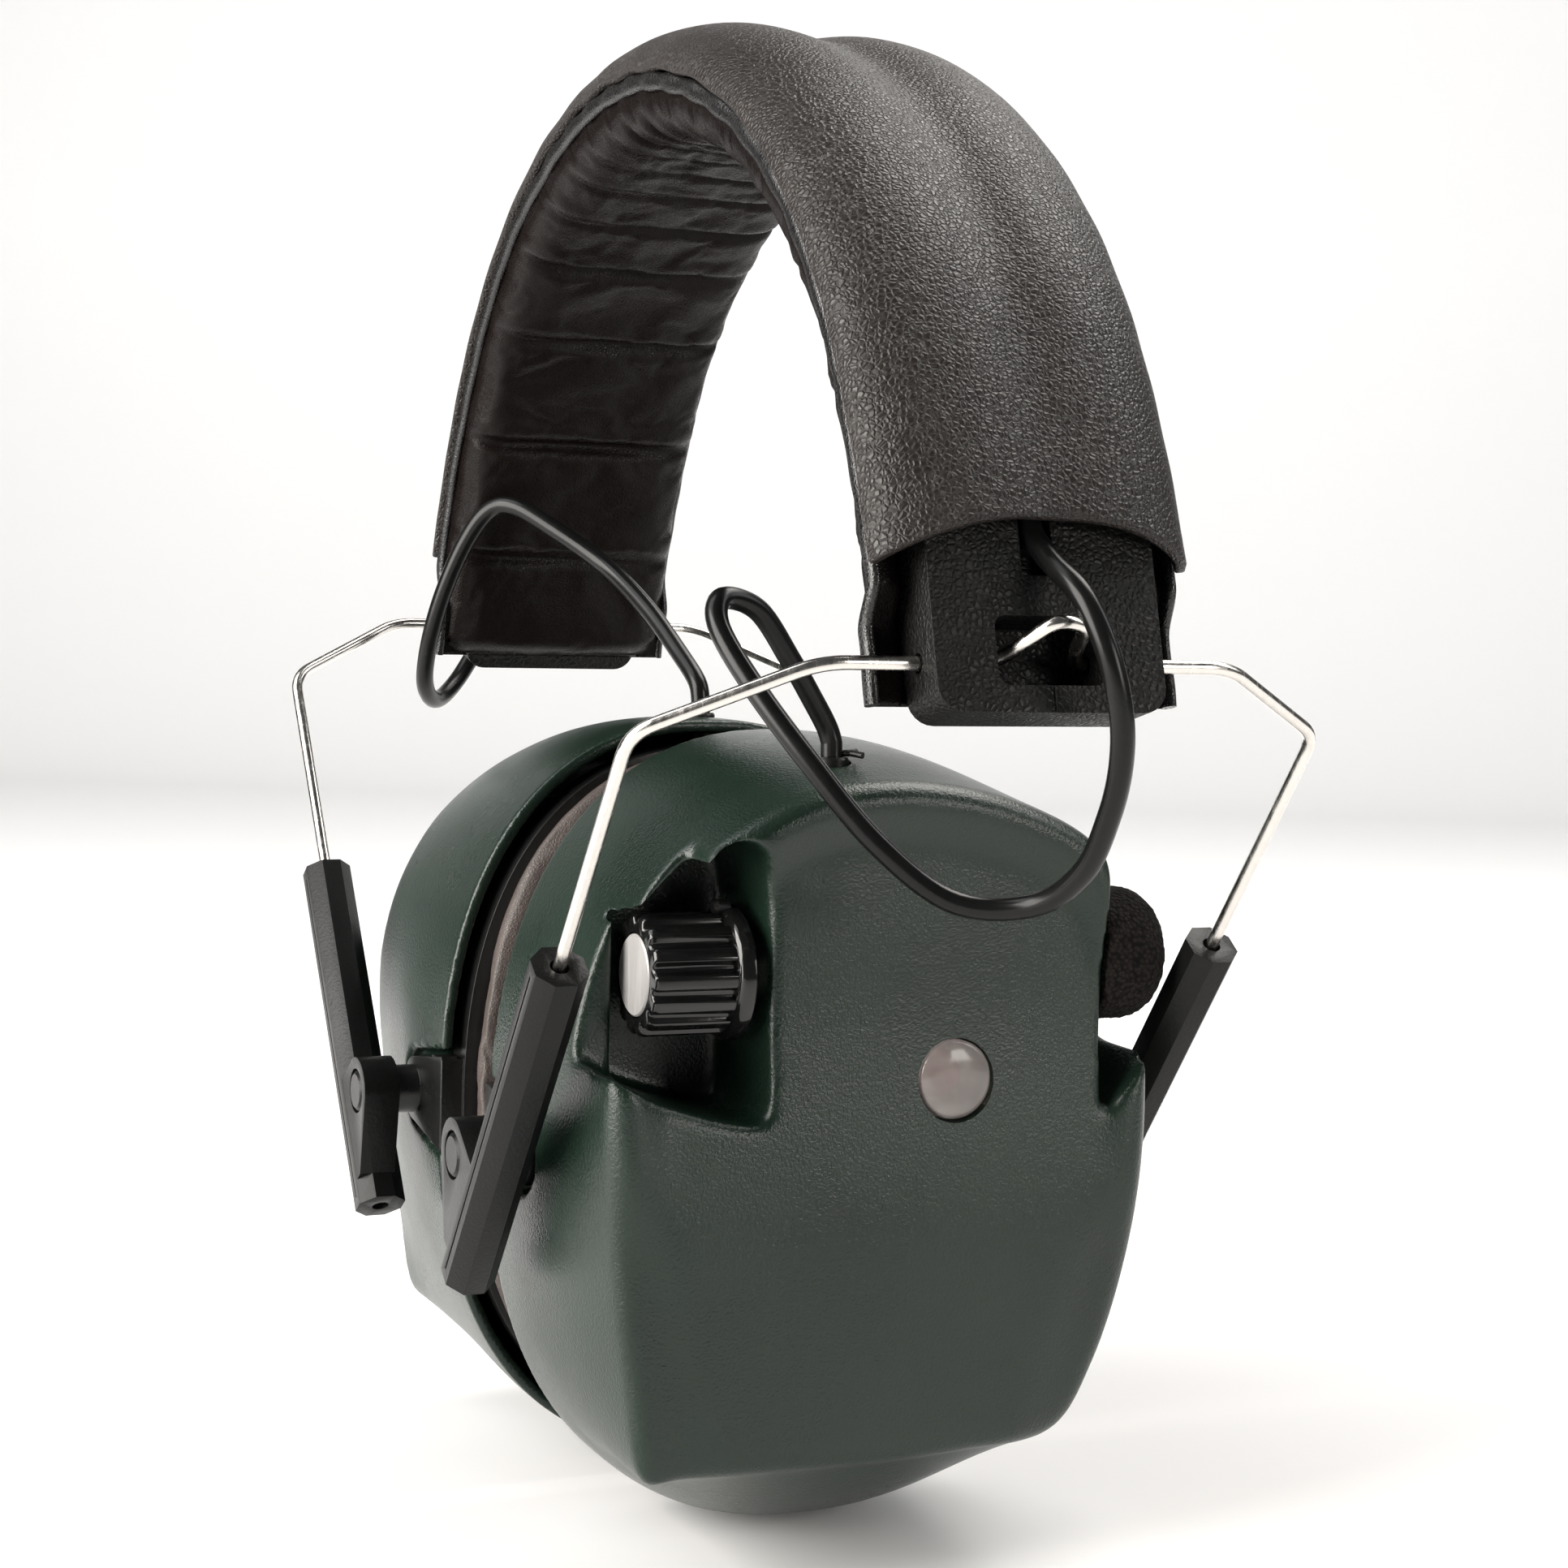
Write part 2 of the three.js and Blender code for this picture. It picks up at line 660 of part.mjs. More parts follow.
// the rim plate that closes the cup, with an ear and boss for each pivot pin
function cushionPlate() {
  const ears = [-1, 1].map((end) => {
    const tab = pivotTongue(9.5, 6.5, 4.4, [-38.1, -35.9]);
    const root = box([9.5, PLATE_X[1]], [-38, -34], [PIVOT.z - 6, PIVOT.z + 6]);
    const boss = rodY(BOSS_R, PIVOT.x, PIVOT.z, -BOSS_OUTER_Y, -37, 20);
    const ear = join(tab, root, boss);
    return end < 0 ? ear : toFront(ear);
  });
  const body = join(ovalPlate(PLATE_X, PLATE_OUTLINE), ...ears);
  const spigot = ovalPlate([13, 19], grown(PLATE_HOLE, 3));
  return cut(
    join(body, spigot),
    ovalPlate([0, 30], PLATE_HOLE),
    rodY(PIN_R + GAP, PIVOT.x, PIVOT.z, -60, 60, 16),
  );
}

// a plain ring with a stepped edge, the size of the padded cushion
function earCushion() {
  const [inner, outer] = CUSHION_X;
  const step = 2.5;
  const edge = ovalPlate([inner + step, outer], grown(PLATE_OUTLINE, -0.8));
  const face = ovalPlate([inner, outer - 0.5], grown(PLATE_OUTLINE, -0.8 - step));
  return cut(join(edge, face), ovalPlate([-5, 20], CUSHION_HOLE));
}

function foamLiner() {
  return ovalPlate([10.5, 21], grown(PLATE_HOLE, -GAP));
}

// a small loudspeaker behind the foam, as a turned profile
function speaker() {
  const profile = [[0, 0], [18, 0], [18, 2.2], [10, 5], [10, 7.5], [0, 7.5]];
  const geometry = new THREE.LatheGeometry(profile.map(([r, h]) => new THREE.Vector2(r, h)), 24);
  geometry.rotateZ(-Math.PI / 2);
  geometry.translate(21.5, 0, CUP_MID_Z - 6);
  return toSolid(geometry);
}

function micFoam() {
  const depth = MIC.front - MIC.back;
  const profile = [[0, 0], [MIC.r - 0.4, 0], [MIC.r, 1], [MIC.r, depth - 4], [MIC.r - 1.6, depth - 1.4]];
  profile.push([MIC.r - 4.5, depth - 0.2], [0, depth]);
  const geometry = new THREE.LatheGeometry(profile.map(([r, h]) => new THREE.Vector2(r, h)), 20);
  geometry.translate(MIC.x, MIC.back, MIC.z);
  return toSolid(geometry);
}

function micCapsule() {
  return rodY(3, MIC.x, MIC.z, MIC_WALL_Y - SHELL_WALL - 4, MIC_WALL_Y - SHELL_WALL - GAP, 16);
}

// a thin moulded sleeve round the lead where it enters the cup
function leadGrommet(side) {
  const profile = [[1.6, -4], [2.1, -4], [2.1, 1.8], [1.9, 2.2], [1.6, 2.2], [1.6, -4]];
  const geometry = new THREE.LatheGeometry(profile.map(([r, h]) => new THREE.Vector2(r, h)), 16);
  geometry.rotateX(Math.PI / 2);
  const entry = LEAD_ENTRY[side];
  geometry.translate(entry.x, entry.y, entry.z);
  return toSolid(geometry);
}

// the amplifier board behind the outer face; the left cup's sits above the battery tray
function circuitBoard(side) {
  return side === 'right'
    ? box([BOARD_X, BOARD_X + 1.6], [-7.5, 24], [-150, -92])
    : box([33, 34.6], [-24, 24], [-105.5, -88]);
}

// ---- electronics in the right cup ---------------------------------------------------------------
// fluted knob with a skirt, bored for the potentiometer's shaft
function volumeKnob() {
  const flutes = 16;
  const outline = new THREE.Shape();
  for (let i = 0; i < flutes * 4; i += 1) {
    const angle = (i / (flutes * 4)) * 2 * Math.PI;
    const radius = i % 4 < 2 ? KNOB.r : KNOB.r - 0.7;
    const [x, y] = [radius * Math.cos(angle), radius * Math.sin(angle)];
    if (i === 0) outline.moveTo(x, y);
    else outline.lineTo(x, y);
  }
  outline.closePath();
  const length = KNOB.back - 2.4 - KNOB.front;
  const body = new THREE.ExtrudeGeometry(outline, { depth: length, bevelEnabled: false });
  body.rotateX(Math.PI / 2);
  body.translate(KNOB.x, KNOB.back - 2.4, KNOB.z);
  return cut(
    join(toSolid(body), rodY(KNOB.r + 0.9, KNOB.x, KNOB.z, KNOB.back - 2.6, KNOB.back, 28)),
    rodY(1.5 + GAP, KNOB.x, KNOB.z, -26, KNOB.back + 1, 12),
    rodY(4.9 + GAP, KNOB.x, KNOB.z, KNOB.front - 1, KNOB.front + 0.8 + GAP, 24),
    rodY(3.4, KNOB.x, KNOB.z, KNOB.back - 1.8, KNOB.back + 1, 16),
  );
}

function knobCap() {
  return rodY(4.9, KNOB.x, KNOB.z, KNOB.front, KNOB.front + 0.8, 24);
}

function potentiometer() {
  const front = KNOB_WALL_Y + SHELL_WALL + GAP;
  const body = box([KNOB.x - 5, KNOB.x + 5], [front, front + 5], [KNOB.z - 5.5, KNOB.z + 5.5]);
  const shaft = rodY(1.5, KNOB.x, KNOB.z, -25.6, front + 1, 12);
  return join(body, shaft);
}

function potNut() {
  return cut(
    rodY(3, KNOB.x, KNOB.z, KNOB_WALL_Y - GAP - 1.4, KNOB_WALL_Y - GAP, 6),
    rodY(1.5 + GAP, KNOB.x, KNOB.z, -20, -10, 12),
  );
}

function ledLens() {
  const profile = [[0, 0], [LENS.r, 0], [LENS.r, 2.6], [LENS.r - 1.4, 3.2], [0, 3.5]];
  const geometry = new THREE.LatheGeometry(profile.map(([r, h]) => new THREE.Vector2(r, h)), 24);
  geometry.rotateZ(-Math.PI / 2);
  geometry.translate(FACE_X - 2.6, LENS.y, LENS.z);
  return toSolid(geometry);
}

function statusLed() {
  const profile = [[0, 0], [2.9, 0], [2.9, 1], [2.5, 1], [2.5, 5.4], [1.8, 7], [0, 7.8]];
  const geometry = new THREE.LatheGeometry(profile.map(([r, h]) => new THREE.Vector2(r, h)), 16);
  geometry.rotateZ(-Math.PI / 2);
  geometry.translate(BOARD_X + 1.6 + GAP, LENS.y, LENS.z);
  return toSolid(geometry);
}

// ---- battery side of the left cup ---------------------------------------------------------------
function batteryDoor() {
  const form = cut(cupForm(0), cupForm(SHELL_WALL));
  return form.intersect(batteryOpening(GAP));
}

function batteryTray() {
  return cut(
    box([30, 44.5], [-13.5, 13.5], [-151, -107]),
    box([31.6, 50], [-12, 12], [-149.5, -108.5]),
  );
}

function batteryCell() {
  const profile = [[0, -20.2], [5, -20.2], [5.1, -19.7], [5.1, 18.8], [1.9, 18.8], [1.9, 19.8], [0, 19.8]];
  return new THREE.LatheGeometry(profile.map(([r, h]) => new THREE.Vector2(r, h)), 16)
    .rotateX(Math.PI / 2);
}

// ---- leads --------------------------------------------------------------------------------------
const RIGHT_LEAD_ROUTE = [
  [78.6, -0.6, -47.6],
  [79.9, -0.5, -50.4],
  [83.0, 0.2, -53.2],
  [88.2, 1.2, -56.8],
  [91.0, 2.6, -62.0],
  [91.4, 4.4, -68.4],
  [89.6, 5.8, -74.4],
  [85.6, 6.9, -80.6],
  [80.0, 7.2, -87.2],
  [73.0, 5.0, -91.6],
  [67.4, -2.2, -91.7],
  [63.4, -10.0, -85.4],
  [58.5, -16.4, -76.5],
  [52.5, -21.0, -68.2],
  [47.4, -23.3, -61.7],
  [44.7, -21.9, -58.3],
  [42.7, -16.4, -59.6],
  [41.1, -11.3, -65.5],
  [39.6, -7.6, -70.2],
  [39.0, -5.4, -73.4],
  [39.0, -4.6, -75.4],
];
const LEFT_LEAD_ROUTE = [
  [-78.6, -0.6, -47.6],
  [-79.9, -0.8, -50.4],
  [-83.0, -1.0, -53.2],
  [-88.2, -2.0, -56.8],
  [-91.0, -4.4, -62.0],
  [-91.4, -8.0, -68.6],
  [-88.4, -12.6, -74.2],
  [-83.0, -17.4, -76.6],
  [-77.6, -20.8, -73.6],
  [-73.4, -21.4, -66.8],
  [-70.2, -20.2, -59.0],
  [-67.2, -17.8, -51.4],
  [-64.4, -15.0, -46.6],
  [-60.6, -12.2, -46.0],
  [-55.4, -7.8, -49.2],
  [-48.0, -2.0, -54.6],
  [-38.4, 1.2, -60.8],
  [-29.4, 2.8, -67.0],
  [-24.0, 3.4, -70.8],
  [-23.0, 3.6, -73.4],
];

function freeLead(route) {
  const curve = new THREE.CatmullRomCurve3(route.map(([x, y, z]) => new THREE.Vector3(x, y, z)));
  return new THREE.ExtrudeGeometry(roundSection(LEAD_R, 8), {
    steps: 48,
    bevelEnabled: false,
    extrudePath: curve,
  });
}

// ---- assembly -----------------------------------------------------------------------------------
for (const side of ['left', 'right']) {
  const sign = side === 'right' ? 1 : -1;
  addPiece(`headband_cover_${side}`, onSide(side, headbandCover()), 'vinyl');
  const padHalf = side === 'right'
    ? headbandPad((PAD_SPLIT_X + GAP) * CROWN_R / (CROWN_R - PAD_DEPTH))
    : join(headbandPad(PAD_SPLIT_X - 0.5), crownFlat());
  addPiece(`headband_pad_${side}`, onSide(side, padHalf), 'padVinyl');
  addPiece(`band_spring_${side}`, onSide(side, springSolid(0)), 'spring');
  addPiece(`${side}_band_lead`, onSide(side, bandLead()), 'lead');
  addPiece(`${side}_end_block`, onSide(side, endBlock()), 'black');
  addPiece(`${side}_yoke_wire`, onSide(side, yokeWire()), 'wire');
  addPiece(`${side}_rear_sleeve`, onSide(side, rearSleeve()), 'black');
  addPiece(`${side}_front_sleeve`, onSide(side, toFront(rearSleeve())), 'black');
  addPiece(`${side}_rear_pin`, onSide(side, rearPin()), 'black');
  addPiece(`${side}_front_pin`, onSide(side, toFront(rearPin())), 'black');
  addPiece(`${side}_cup_shell`, onSide(side, cupShell(side)), 'green');
  addPiece(`${side}_cushion_plate`, onSide(side, cushionPlate()), 'black');
  addPiece(`${side}_ear_cushion`, onSide(side, earCushion()), 'cushion');
  addPiece(`${side}_foam_liner`, onSide(side, foamLiner()), 'foam');
  addPiece(`${side}_speaker`, onSide(side, speaker()), 'black');
  addPiece(`${side}_mic_capsule`, onSide(side, micCapsule()), 'silver');
  addPiece(`${side}_mic_foam`, onSide(side, micFoam()), 'foam');
  addPiece(`${side}_lead_grommet`, onSide(side, leadGrommet(side)), 'black');
  addPiece(`${side}_lead`, freeLead(side === 'right' ? RIGHT_LEAD_ROUTE : LEFT_LEAD_ROUTE), 'lead');
  addPiece(`${side}_circuit_board`, onSide(side, circuitBoard(side)), 'board');
}
addPiece('volume_knob', toGeometry(volumeKnob()), 'knob');
addPiece('knob_cap', toGeometry(knobCap()), 'silver');
addPiece('potentiometer', toGeometry(potentiometer()), 'black');
addPiece('potentiometer_nut', toGeometry(potNut()), 'silver');
addPiece('status_led', toGeometry(statusLed()), 'red');
addPiece('led_lens', toGeometry(ledLens()), 'lens');
addPiece('battery_door', onSide('left', batteryDoor()), 'green');
addPiece('battery_tray', onSide('left', batteryTray()), 'black');
for (const [index, y] of [-5.6, 5.6].entries()) {
  const cell = addPiece(`battery_${index + 1}`, batteryCell(), 'cell');
  cell.position.set(-37.2, y, -129);
}

export default model;
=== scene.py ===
# Looks of the electronic earmuff hearing protector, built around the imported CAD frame.
# Lengths in the code are millimetres and are scaled to metres when a mesh is made.
# +X is the wearer's right (the near cup), +Y the front, +Z up.
import math

import bmesh
import bpy
import numpy as np
from mathutils import Matrix, Vector


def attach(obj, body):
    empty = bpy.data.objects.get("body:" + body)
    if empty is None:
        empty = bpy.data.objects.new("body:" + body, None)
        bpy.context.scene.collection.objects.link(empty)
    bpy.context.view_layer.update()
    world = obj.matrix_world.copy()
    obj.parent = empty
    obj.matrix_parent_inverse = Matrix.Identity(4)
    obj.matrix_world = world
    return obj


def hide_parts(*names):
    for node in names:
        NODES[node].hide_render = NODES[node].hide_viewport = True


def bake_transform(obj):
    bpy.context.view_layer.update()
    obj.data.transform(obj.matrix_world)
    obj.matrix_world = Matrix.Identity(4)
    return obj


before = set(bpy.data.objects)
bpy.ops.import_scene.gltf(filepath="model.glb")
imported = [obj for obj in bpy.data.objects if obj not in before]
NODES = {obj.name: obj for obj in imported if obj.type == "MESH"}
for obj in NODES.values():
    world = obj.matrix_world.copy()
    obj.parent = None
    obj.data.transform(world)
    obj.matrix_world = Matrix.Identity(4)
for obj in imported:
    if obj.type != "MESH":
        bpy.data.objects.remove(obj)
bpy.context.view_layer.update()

MM = 0.001
SIDES = (("right", 1), ("left", -1))

# ---- headband dimensions, as in the frame -------------------------------------------------------
PAD_DEPTH = 8.0
CROWN_R = 77.5
CROWN_ANGLE = math.radians(60)
LEG_R = 137.0
LEG_ANGLE = math.radians(75)
BAND_HALF_WIDTH = 18.4
CROWN_ARC = CROWN_R * CROWN_ANGLE
HALF_ARC = CROWN_ARC + LEG_R * (LEG_ANGLE - CROWN_ANGLE)
COVER_END = 13.6
COVER_ARCH_R = 48.0
PAD_END = -4.5

# ---- yoke, sleeve and pivot ---------------------------------------------------------------------
WIRE_R = 0.8
SWING = (80.0, -64.4)
SHOULDER_Y = 25.2
YOKE_Y = 43.2
LEG_TOP = (71.0, -72.5)
LEG_LEAN = math.radians(36.1)
KINK_REACH = 8.2
KINK_ANGLE = math.radians(38)
SLEEVE_FROM_BEND = 34.1
SLEEVE_LENGTH = 53.0
SLEEVE_FLATS = 6.4
PIVOT = (22.0, -127.2)
EAR_R = 4.6
SLEEVE_TO_PIVOT = 7.4

# ---- cup ----------------------------------------------------------------------------------------
CUP_MID_Z = -126.5
RIM_X = 14.5
PANEL_X = 46.6
FACE_X = 49.5
WALL = 2.2
SKIRT_X, HOLLOW_SKIRT_X = 10.2, 4.0
RECESS_OUT = 80
KNOB = (40.0, -103.0)
MIC = (41.0, -102.0)
LENS_Y, LENS_Z, LENS_R = 9.0, -116.0, 4.9
LEAD_ENTRY = {"right": (39.0, -4.5, -78.0), "left": (23.0, 3.6, -76.0)}
LEAD_R = 1.35


# ---- small helpers ------------------------------------------------------------------------------
def link(obj):
    bpy.context.scene.collection.objects.link(obj)
    return obj


def make(name, verts, faces, material=None, sharp=None):
    """A mesh object from millimetre vertices; sharp is the crease angle in degrees, None for all smooth."""
    mesh = bpy.data.meshes.new(name)
    mesh.from_pydata([tuple(float(c) * MM for c in v) for v in verts], [], faces)
    mesh.update()
    obj = link(bpy.data.objects.new(name, mesh))
    shade(obj, sharp)
    if material:
        mesh.materials.append(material)
    return obj


def shade(obj, sharp=None):
    obj.data.shade_smooth()
    if sharp is not None:
        obj.data.set_sharp_from_angle(angle=math.radians(sharp))


def outward(obj):
    """Turns all faces outward."""
    bm = bmesh.new()
    bm.from_mesh(obj.data)
    bmesh.ops.recalc_face_normals(bm, faces=bm.faces)
    bm.to_mesh(obj.data)
    bm.free()
    return obj


def applied(obj):
    """Applies every modifier."""
    graph = bpy.context.evaluated_depsgraph_get()
    mesh = bpy.data.meshes.new_from_object(obj.evaluated_get(graph))
    old = obj.data
    obj.modifiers.clear()
    obj.data = mesh
    bpy.data.meshes.remove(old)
    return obj


def boolean(obj, tool, operation="DIFFERENCE"):
    modifier = obj.modifiers.new("cut", "BOOLEAN")
    modifier.operation = operation
    modifier.solver = "EXACT"
    modifier.object = tool
    applied(obj)
    bpy.data.objects.remove(tool)
    return obj


def bevelled(obj, width, segments=3, angle=35, sharp=30):
    modifier = obj.modifiers.new("bevel", "BEVEL")
    modifier.width = width * MM
    modifier.segments = segments
    modifier.limit_method = "ANGLE"
    modifier.angle_limit = math.radians(angle)
    modifier.use_clamp_overlap = True
    applied(obj)
    shade(obj, sharp)
    return obj


def remeshed(obj, voxel, passes, soft_above, soft_passes):
    """Rounds every edge with a fine voxel remesh and a smoothing, and more so beyond a depth along X."""
    modifier = obj.modifiers.new("voxels", "REMESH")
    modifier.mode = "VOXEL"
    modifier.voxel_size = voxel * MM
    modifier.adaptivity = 0
    smoothing = obj.modifiers.new("smoothing", "SMOOTH")
    smoothing.factor = 0.5
    smoothing.iterations = passes
    applied(obj)
    group = obj.vertex_groups.new(name="soft")
    for vertex in obj.data.vertices:
        weight = step(vertex.co.x / MM, soft_above, soft_above + 6)
        if weight > 0.01:
            group.add([vertex.index], float(weight), "REPLACE")
    softening = obj.modifiers.new("softening", "SMOOTH")
    softening.factor = 0.5
    softening.iterations = soft_passes
    softening.vertex_group = "soft"
    applied(obj)
    obj.vertex_groups.clear()
    shade(obj)
    return obj


def grid(name, points, material=None, close_u=False, close_v=False, sharp=None):
    """A sheet of quads from an array of points [rows, columns, 3]."""
    points = np.asarray(points, float)
    rows, cols = points.shape[:2]
    faces = []
    for i in range(rows - (0 if close_u else 1)):
        for j in range(cols - (0 if close_v else 1)):
            a, b = i * cols + j, i * cols + (j + 1) % cols
            c, d = ((i + 1) % rows) * cols + (j + 1) % cols, ((i + 1) % rows) * cols + j
            faces.append((a, b, c, d))
    return make(name, points.reshape(-1, 3), faces, material, sharp)


def loft(name, loops, material=None, sharp=None):
    """A closed solid through a list of loops with equal point counts, capped at both ends."""
    loops = np.asarray(loops, float)
    rows, cols = loops.shape[:2]
    faces = [
        (i * cols + j, i * cols + (j + 1) % cols, (i + 1) * cols + (j + 1) % cols, (i + 1) * cols + j)
        for i in range(rows - 1)
        for j in range(cols)
    ]
    faces.append(tuple(reversed(range(cols))))
    faces.append(tuple((rows - 1) * cols + j for j in range(cols)))
    return outward(make(name, loops.reshape(-1, 3), faces, material, sharp))


def prism_x(name, outline, x0, x1, material=None):
    """A solid from a (y, z) outline between two depths along X."""
    loops = [[(x, y, z) for y, z in outline] for x in (x0, x1)]
    return loft(name, loops, material)


def box(x, y, z):
    outline = [(y[0], z[0]), (y[1], z[0]), (y[1], z[1]), (y[0], z[1])]
    return prism_x("box", outline, x[0], x[1])


def revolved(name, profile, sides=64, material=None, sharp=30, place=None):
    """A solid turned about +Z from (radius, height) pairs, from axis to axis; place moves it in mm."""
    verts = [(0.0, 0.0, profile[0][1])]
    rings = profile[1:-1]
    for r, h in rings:
        for k in range(sides):
            a = 2 * math.pi * k / sides
            verts.append((r * math.cos(a), r * math.sin(a), h))
    verts.append((0.0, 0.0, profile[-1][1]))
    faces = [(0, 1 + (k + 1) % sides, 1 + k) for k in range(sides)]
    for i in range(len(rings) - 1):
        for k in range(sides):
            a, b = 1 + i * sides + k, 1 + i * sides + (k + 1) % sides
            faces.append((a, b, b + sides, a + sides))
    last, base = len(verts) - 1, 1 + (len(rings) - 1) * sides
    faces += [(base + k, base + (k + 1) % sides, last) for k in range(sides)]
    if place is not None:
        verts = [tuple(place @ Vector(v)) for v in verts]
    return outward(make(name, verts, faces, material, sharp))


def along_y(x, y, z, direction=1):
    """A frame whose +Z axis lies along +Y, or -Y, at a point."""
    turn = Matrix.Rotation(math.radians(-90 * direction), 4, "X")
    return Matrix.Translation((x, y, z)) @ turn


def along_x(x, y, z, direction=1):
    turn = Matrix.Rotation(math.radians(90 * direction), 4, "Y")
    return Matrix.Translation((x, y, z)) @ turn


def tube(name, path, radius, sides=16, material=None, sharp=40):
    """A closed round bar along a list of points, with frames carried along without twist."""
    path = [Vector(p) for p in path]
    tangents = [
        (path[min(i + 1, len(path) - 1)] - path[max(i - 1, 0)]).normalized() for i in range(len(path))
    ]
    side = tangents[0].orthogonal().normalized()
    loops = []
    for p, t in zip(path, tangents):
        side = (side - t * side.dot(t)).normalized()
        other = t.cross(side)
        loops.append([
            p + side * (radius * math.cos(a)) + other * (radius * math.sin(a))
            for a in (2 * math.pi * k / sides for k in range(sides))
        ])
    return loft(name, loops, material, sharp)


def smooth_path(points, count, closed=False):
    """Evenly numbered points of a Catmull-Rom curve through the given ones."""
    pts = np.asarray(points, float)
    n = len(pts)
    spans = n if closed else n - 1
    found = []
    for k in range(count):
        t = k / (count if closed else count - 1) * spans
        i = min(int(t), spans - 1)
        f = t - i
        if closed:
            p0, p1, p2, p3 = (pts[(i + d) % n] for d in (-1, 0, 1, 2))
        else:
            p0, p1, p2, p3 = (pts[min(max(i + d, 0), n - 1)] for d in (-1, 0, 1, 2))
        found.append(0.5 * (2 * p1 + (p2 - p0) * f + (2 * p0 - 5 * p1 + 4 * p2 - p3) * f**2
                            + (3 * p1 - p0 - 3 * p2 + p3) * f**3))
    return np.array(found)


def mirrored(obj, name):
    """A copy on the other side of the YZ plane, with its faces turned back outward."""
    copy = link(bpy.data.objects.new(name, obj.data.copy()))
    copy.data.transform(Matrix.Scale(-1, 4, (1, 0, 0)))
    copy.data.flip_normals()
    return copy


def step(value, low, high):
    t = np.clip((value - low) / (high - low), 0, 1)
    return t * t * (3 - 2 * t)


# ---- materials ----------------------------------------------------------------------------------
def start_material(name, color, roughness, metallic=0.0):
    material = bpy.data.materials.new(name)
    material.use_nodes = True
    bsdf = material.node_tree.nodes["Principled BSDF"]
    bsdf.inputs["Base Color"].default_value = (*color, 1)
    bsdf.inputs["Roughness"].default_value = roughness
    bsdf.inputs["Metallic"].default_value = metallic
    material.diffuse_color = (*color, 1)
    return material, material.node_tree, bsdf


def coordinates(tree, scale=(1, 1, 1)):
    source = tree.nodes.new("ShaderNodeTexCoord")
    mapping = tree.nodes.new("ShaderNodeMapping")
    mapping.inputs["Scale"].default_value = scale
    tree.links.new(source.outputs["Object"], mapping.inputs["Vector"])
    return mapping.outputs["Vector"]


def noise(tree, vector, scale, detail=3.0, roughness=0.5):
    node = tree.nodes.new("ShaderNodeTexNoise")
    node.inputs["Scale"].default_value = scale
    node.inputs["Detail"].default_value = detail
    node.inputs["Roughness"].default_value = roughness
    tree.links.new(vector, node.inputs["Vector"])
    return node.outputs["Fac"]


def cells(tree, vector, scale, feature="DISTANCE_TO_EDGE"):
    node = tree.nodes.new("ShaderNodeTexVoronoi")
    node.feature = feature
    node.inputs["Scale"].default_value = scale
    tree.links.new(vector, node.inputs["Vector"])
    return node.outputs["Distance"]


def ranged(tree, value, low, high, to_low, to_high):
    node = tree.nodes.new("ShaderNodeMapRange")
    for key, number in (("From Min", low), ("From Max", high), ("To Min", to_low), ("To Max", to_high)):
        node.inputs[key].default_value = number
    tree.links.new(value, node.inputs["Value"])
    return node.outputs["Result"]


def math_node(tree, operation, a, b):
    node = tree.nodes.new("ShaderNodeMath")
    node.operation = operation
    for socket, value in zip(node.inputs, (a, b)):
        if isinstance(value, (int, float)):
            socket.default_value = value
        else:
            tree.links.new(value, socket)
    return node.outputs["Value"]


def two_colors(tree, bsdf, factor, first, second):
    ramp = tree.nodes.new("ShaderNodeValToRGB")
    ramp.color_ramp.elements[0].color = (*first, 1)
    ramp.color_ramp.elements[1].color = (*second, 1)
    tree.links.new(factor, ramp.inputs["Fac"])
    tree.links.new(ramp.outputs["Color"], bsdf.inputs["Base Color"])


def bump(tree, bsdf, height, distance):
    node = tree.nodes.new("ShaderNodeBump")
    node.inputs["Strength"].default_value = 1.0
    node.inputs["Distance"].default_value = distance
    tree.links.new(height, node.inputs["Height"])
    tree.links.new(node.outputs["Normal"], bsdf.inputs["Normal"])


def moulded_plastic(name, dark, light, roughness, grain, depth, shine=0.5):
    """Plastic with a spark-eroded grain and a soft unevenness in colour and gloss."""
    material, tree, bsdf = start_material(name, light, roughness)
    vector = coordinates(tree)
    patches = noise(tree, vector, 45, 4, 0.6)
    fine = noise(tree, vector, grain, 2, 0.6)
    mottle = math_node(tree, "MULTIPLY", patches, ranged(tree, fine, 0.3, 0.7, 0.7, 1.3))
    two_colors(tree, bsdf, mottle, dark, light)
    gloss = ranged(tree, patches, 0.3, 0.7, roughness - 0.05, roughness + 0.07)
    tree.links.new(gloss, bsdf.inputs["Roughness"])
    bsdf.inputs["Specular IOR Level"].default_value = shine
    bump(tree, bsdf, fine, depth)
    return material


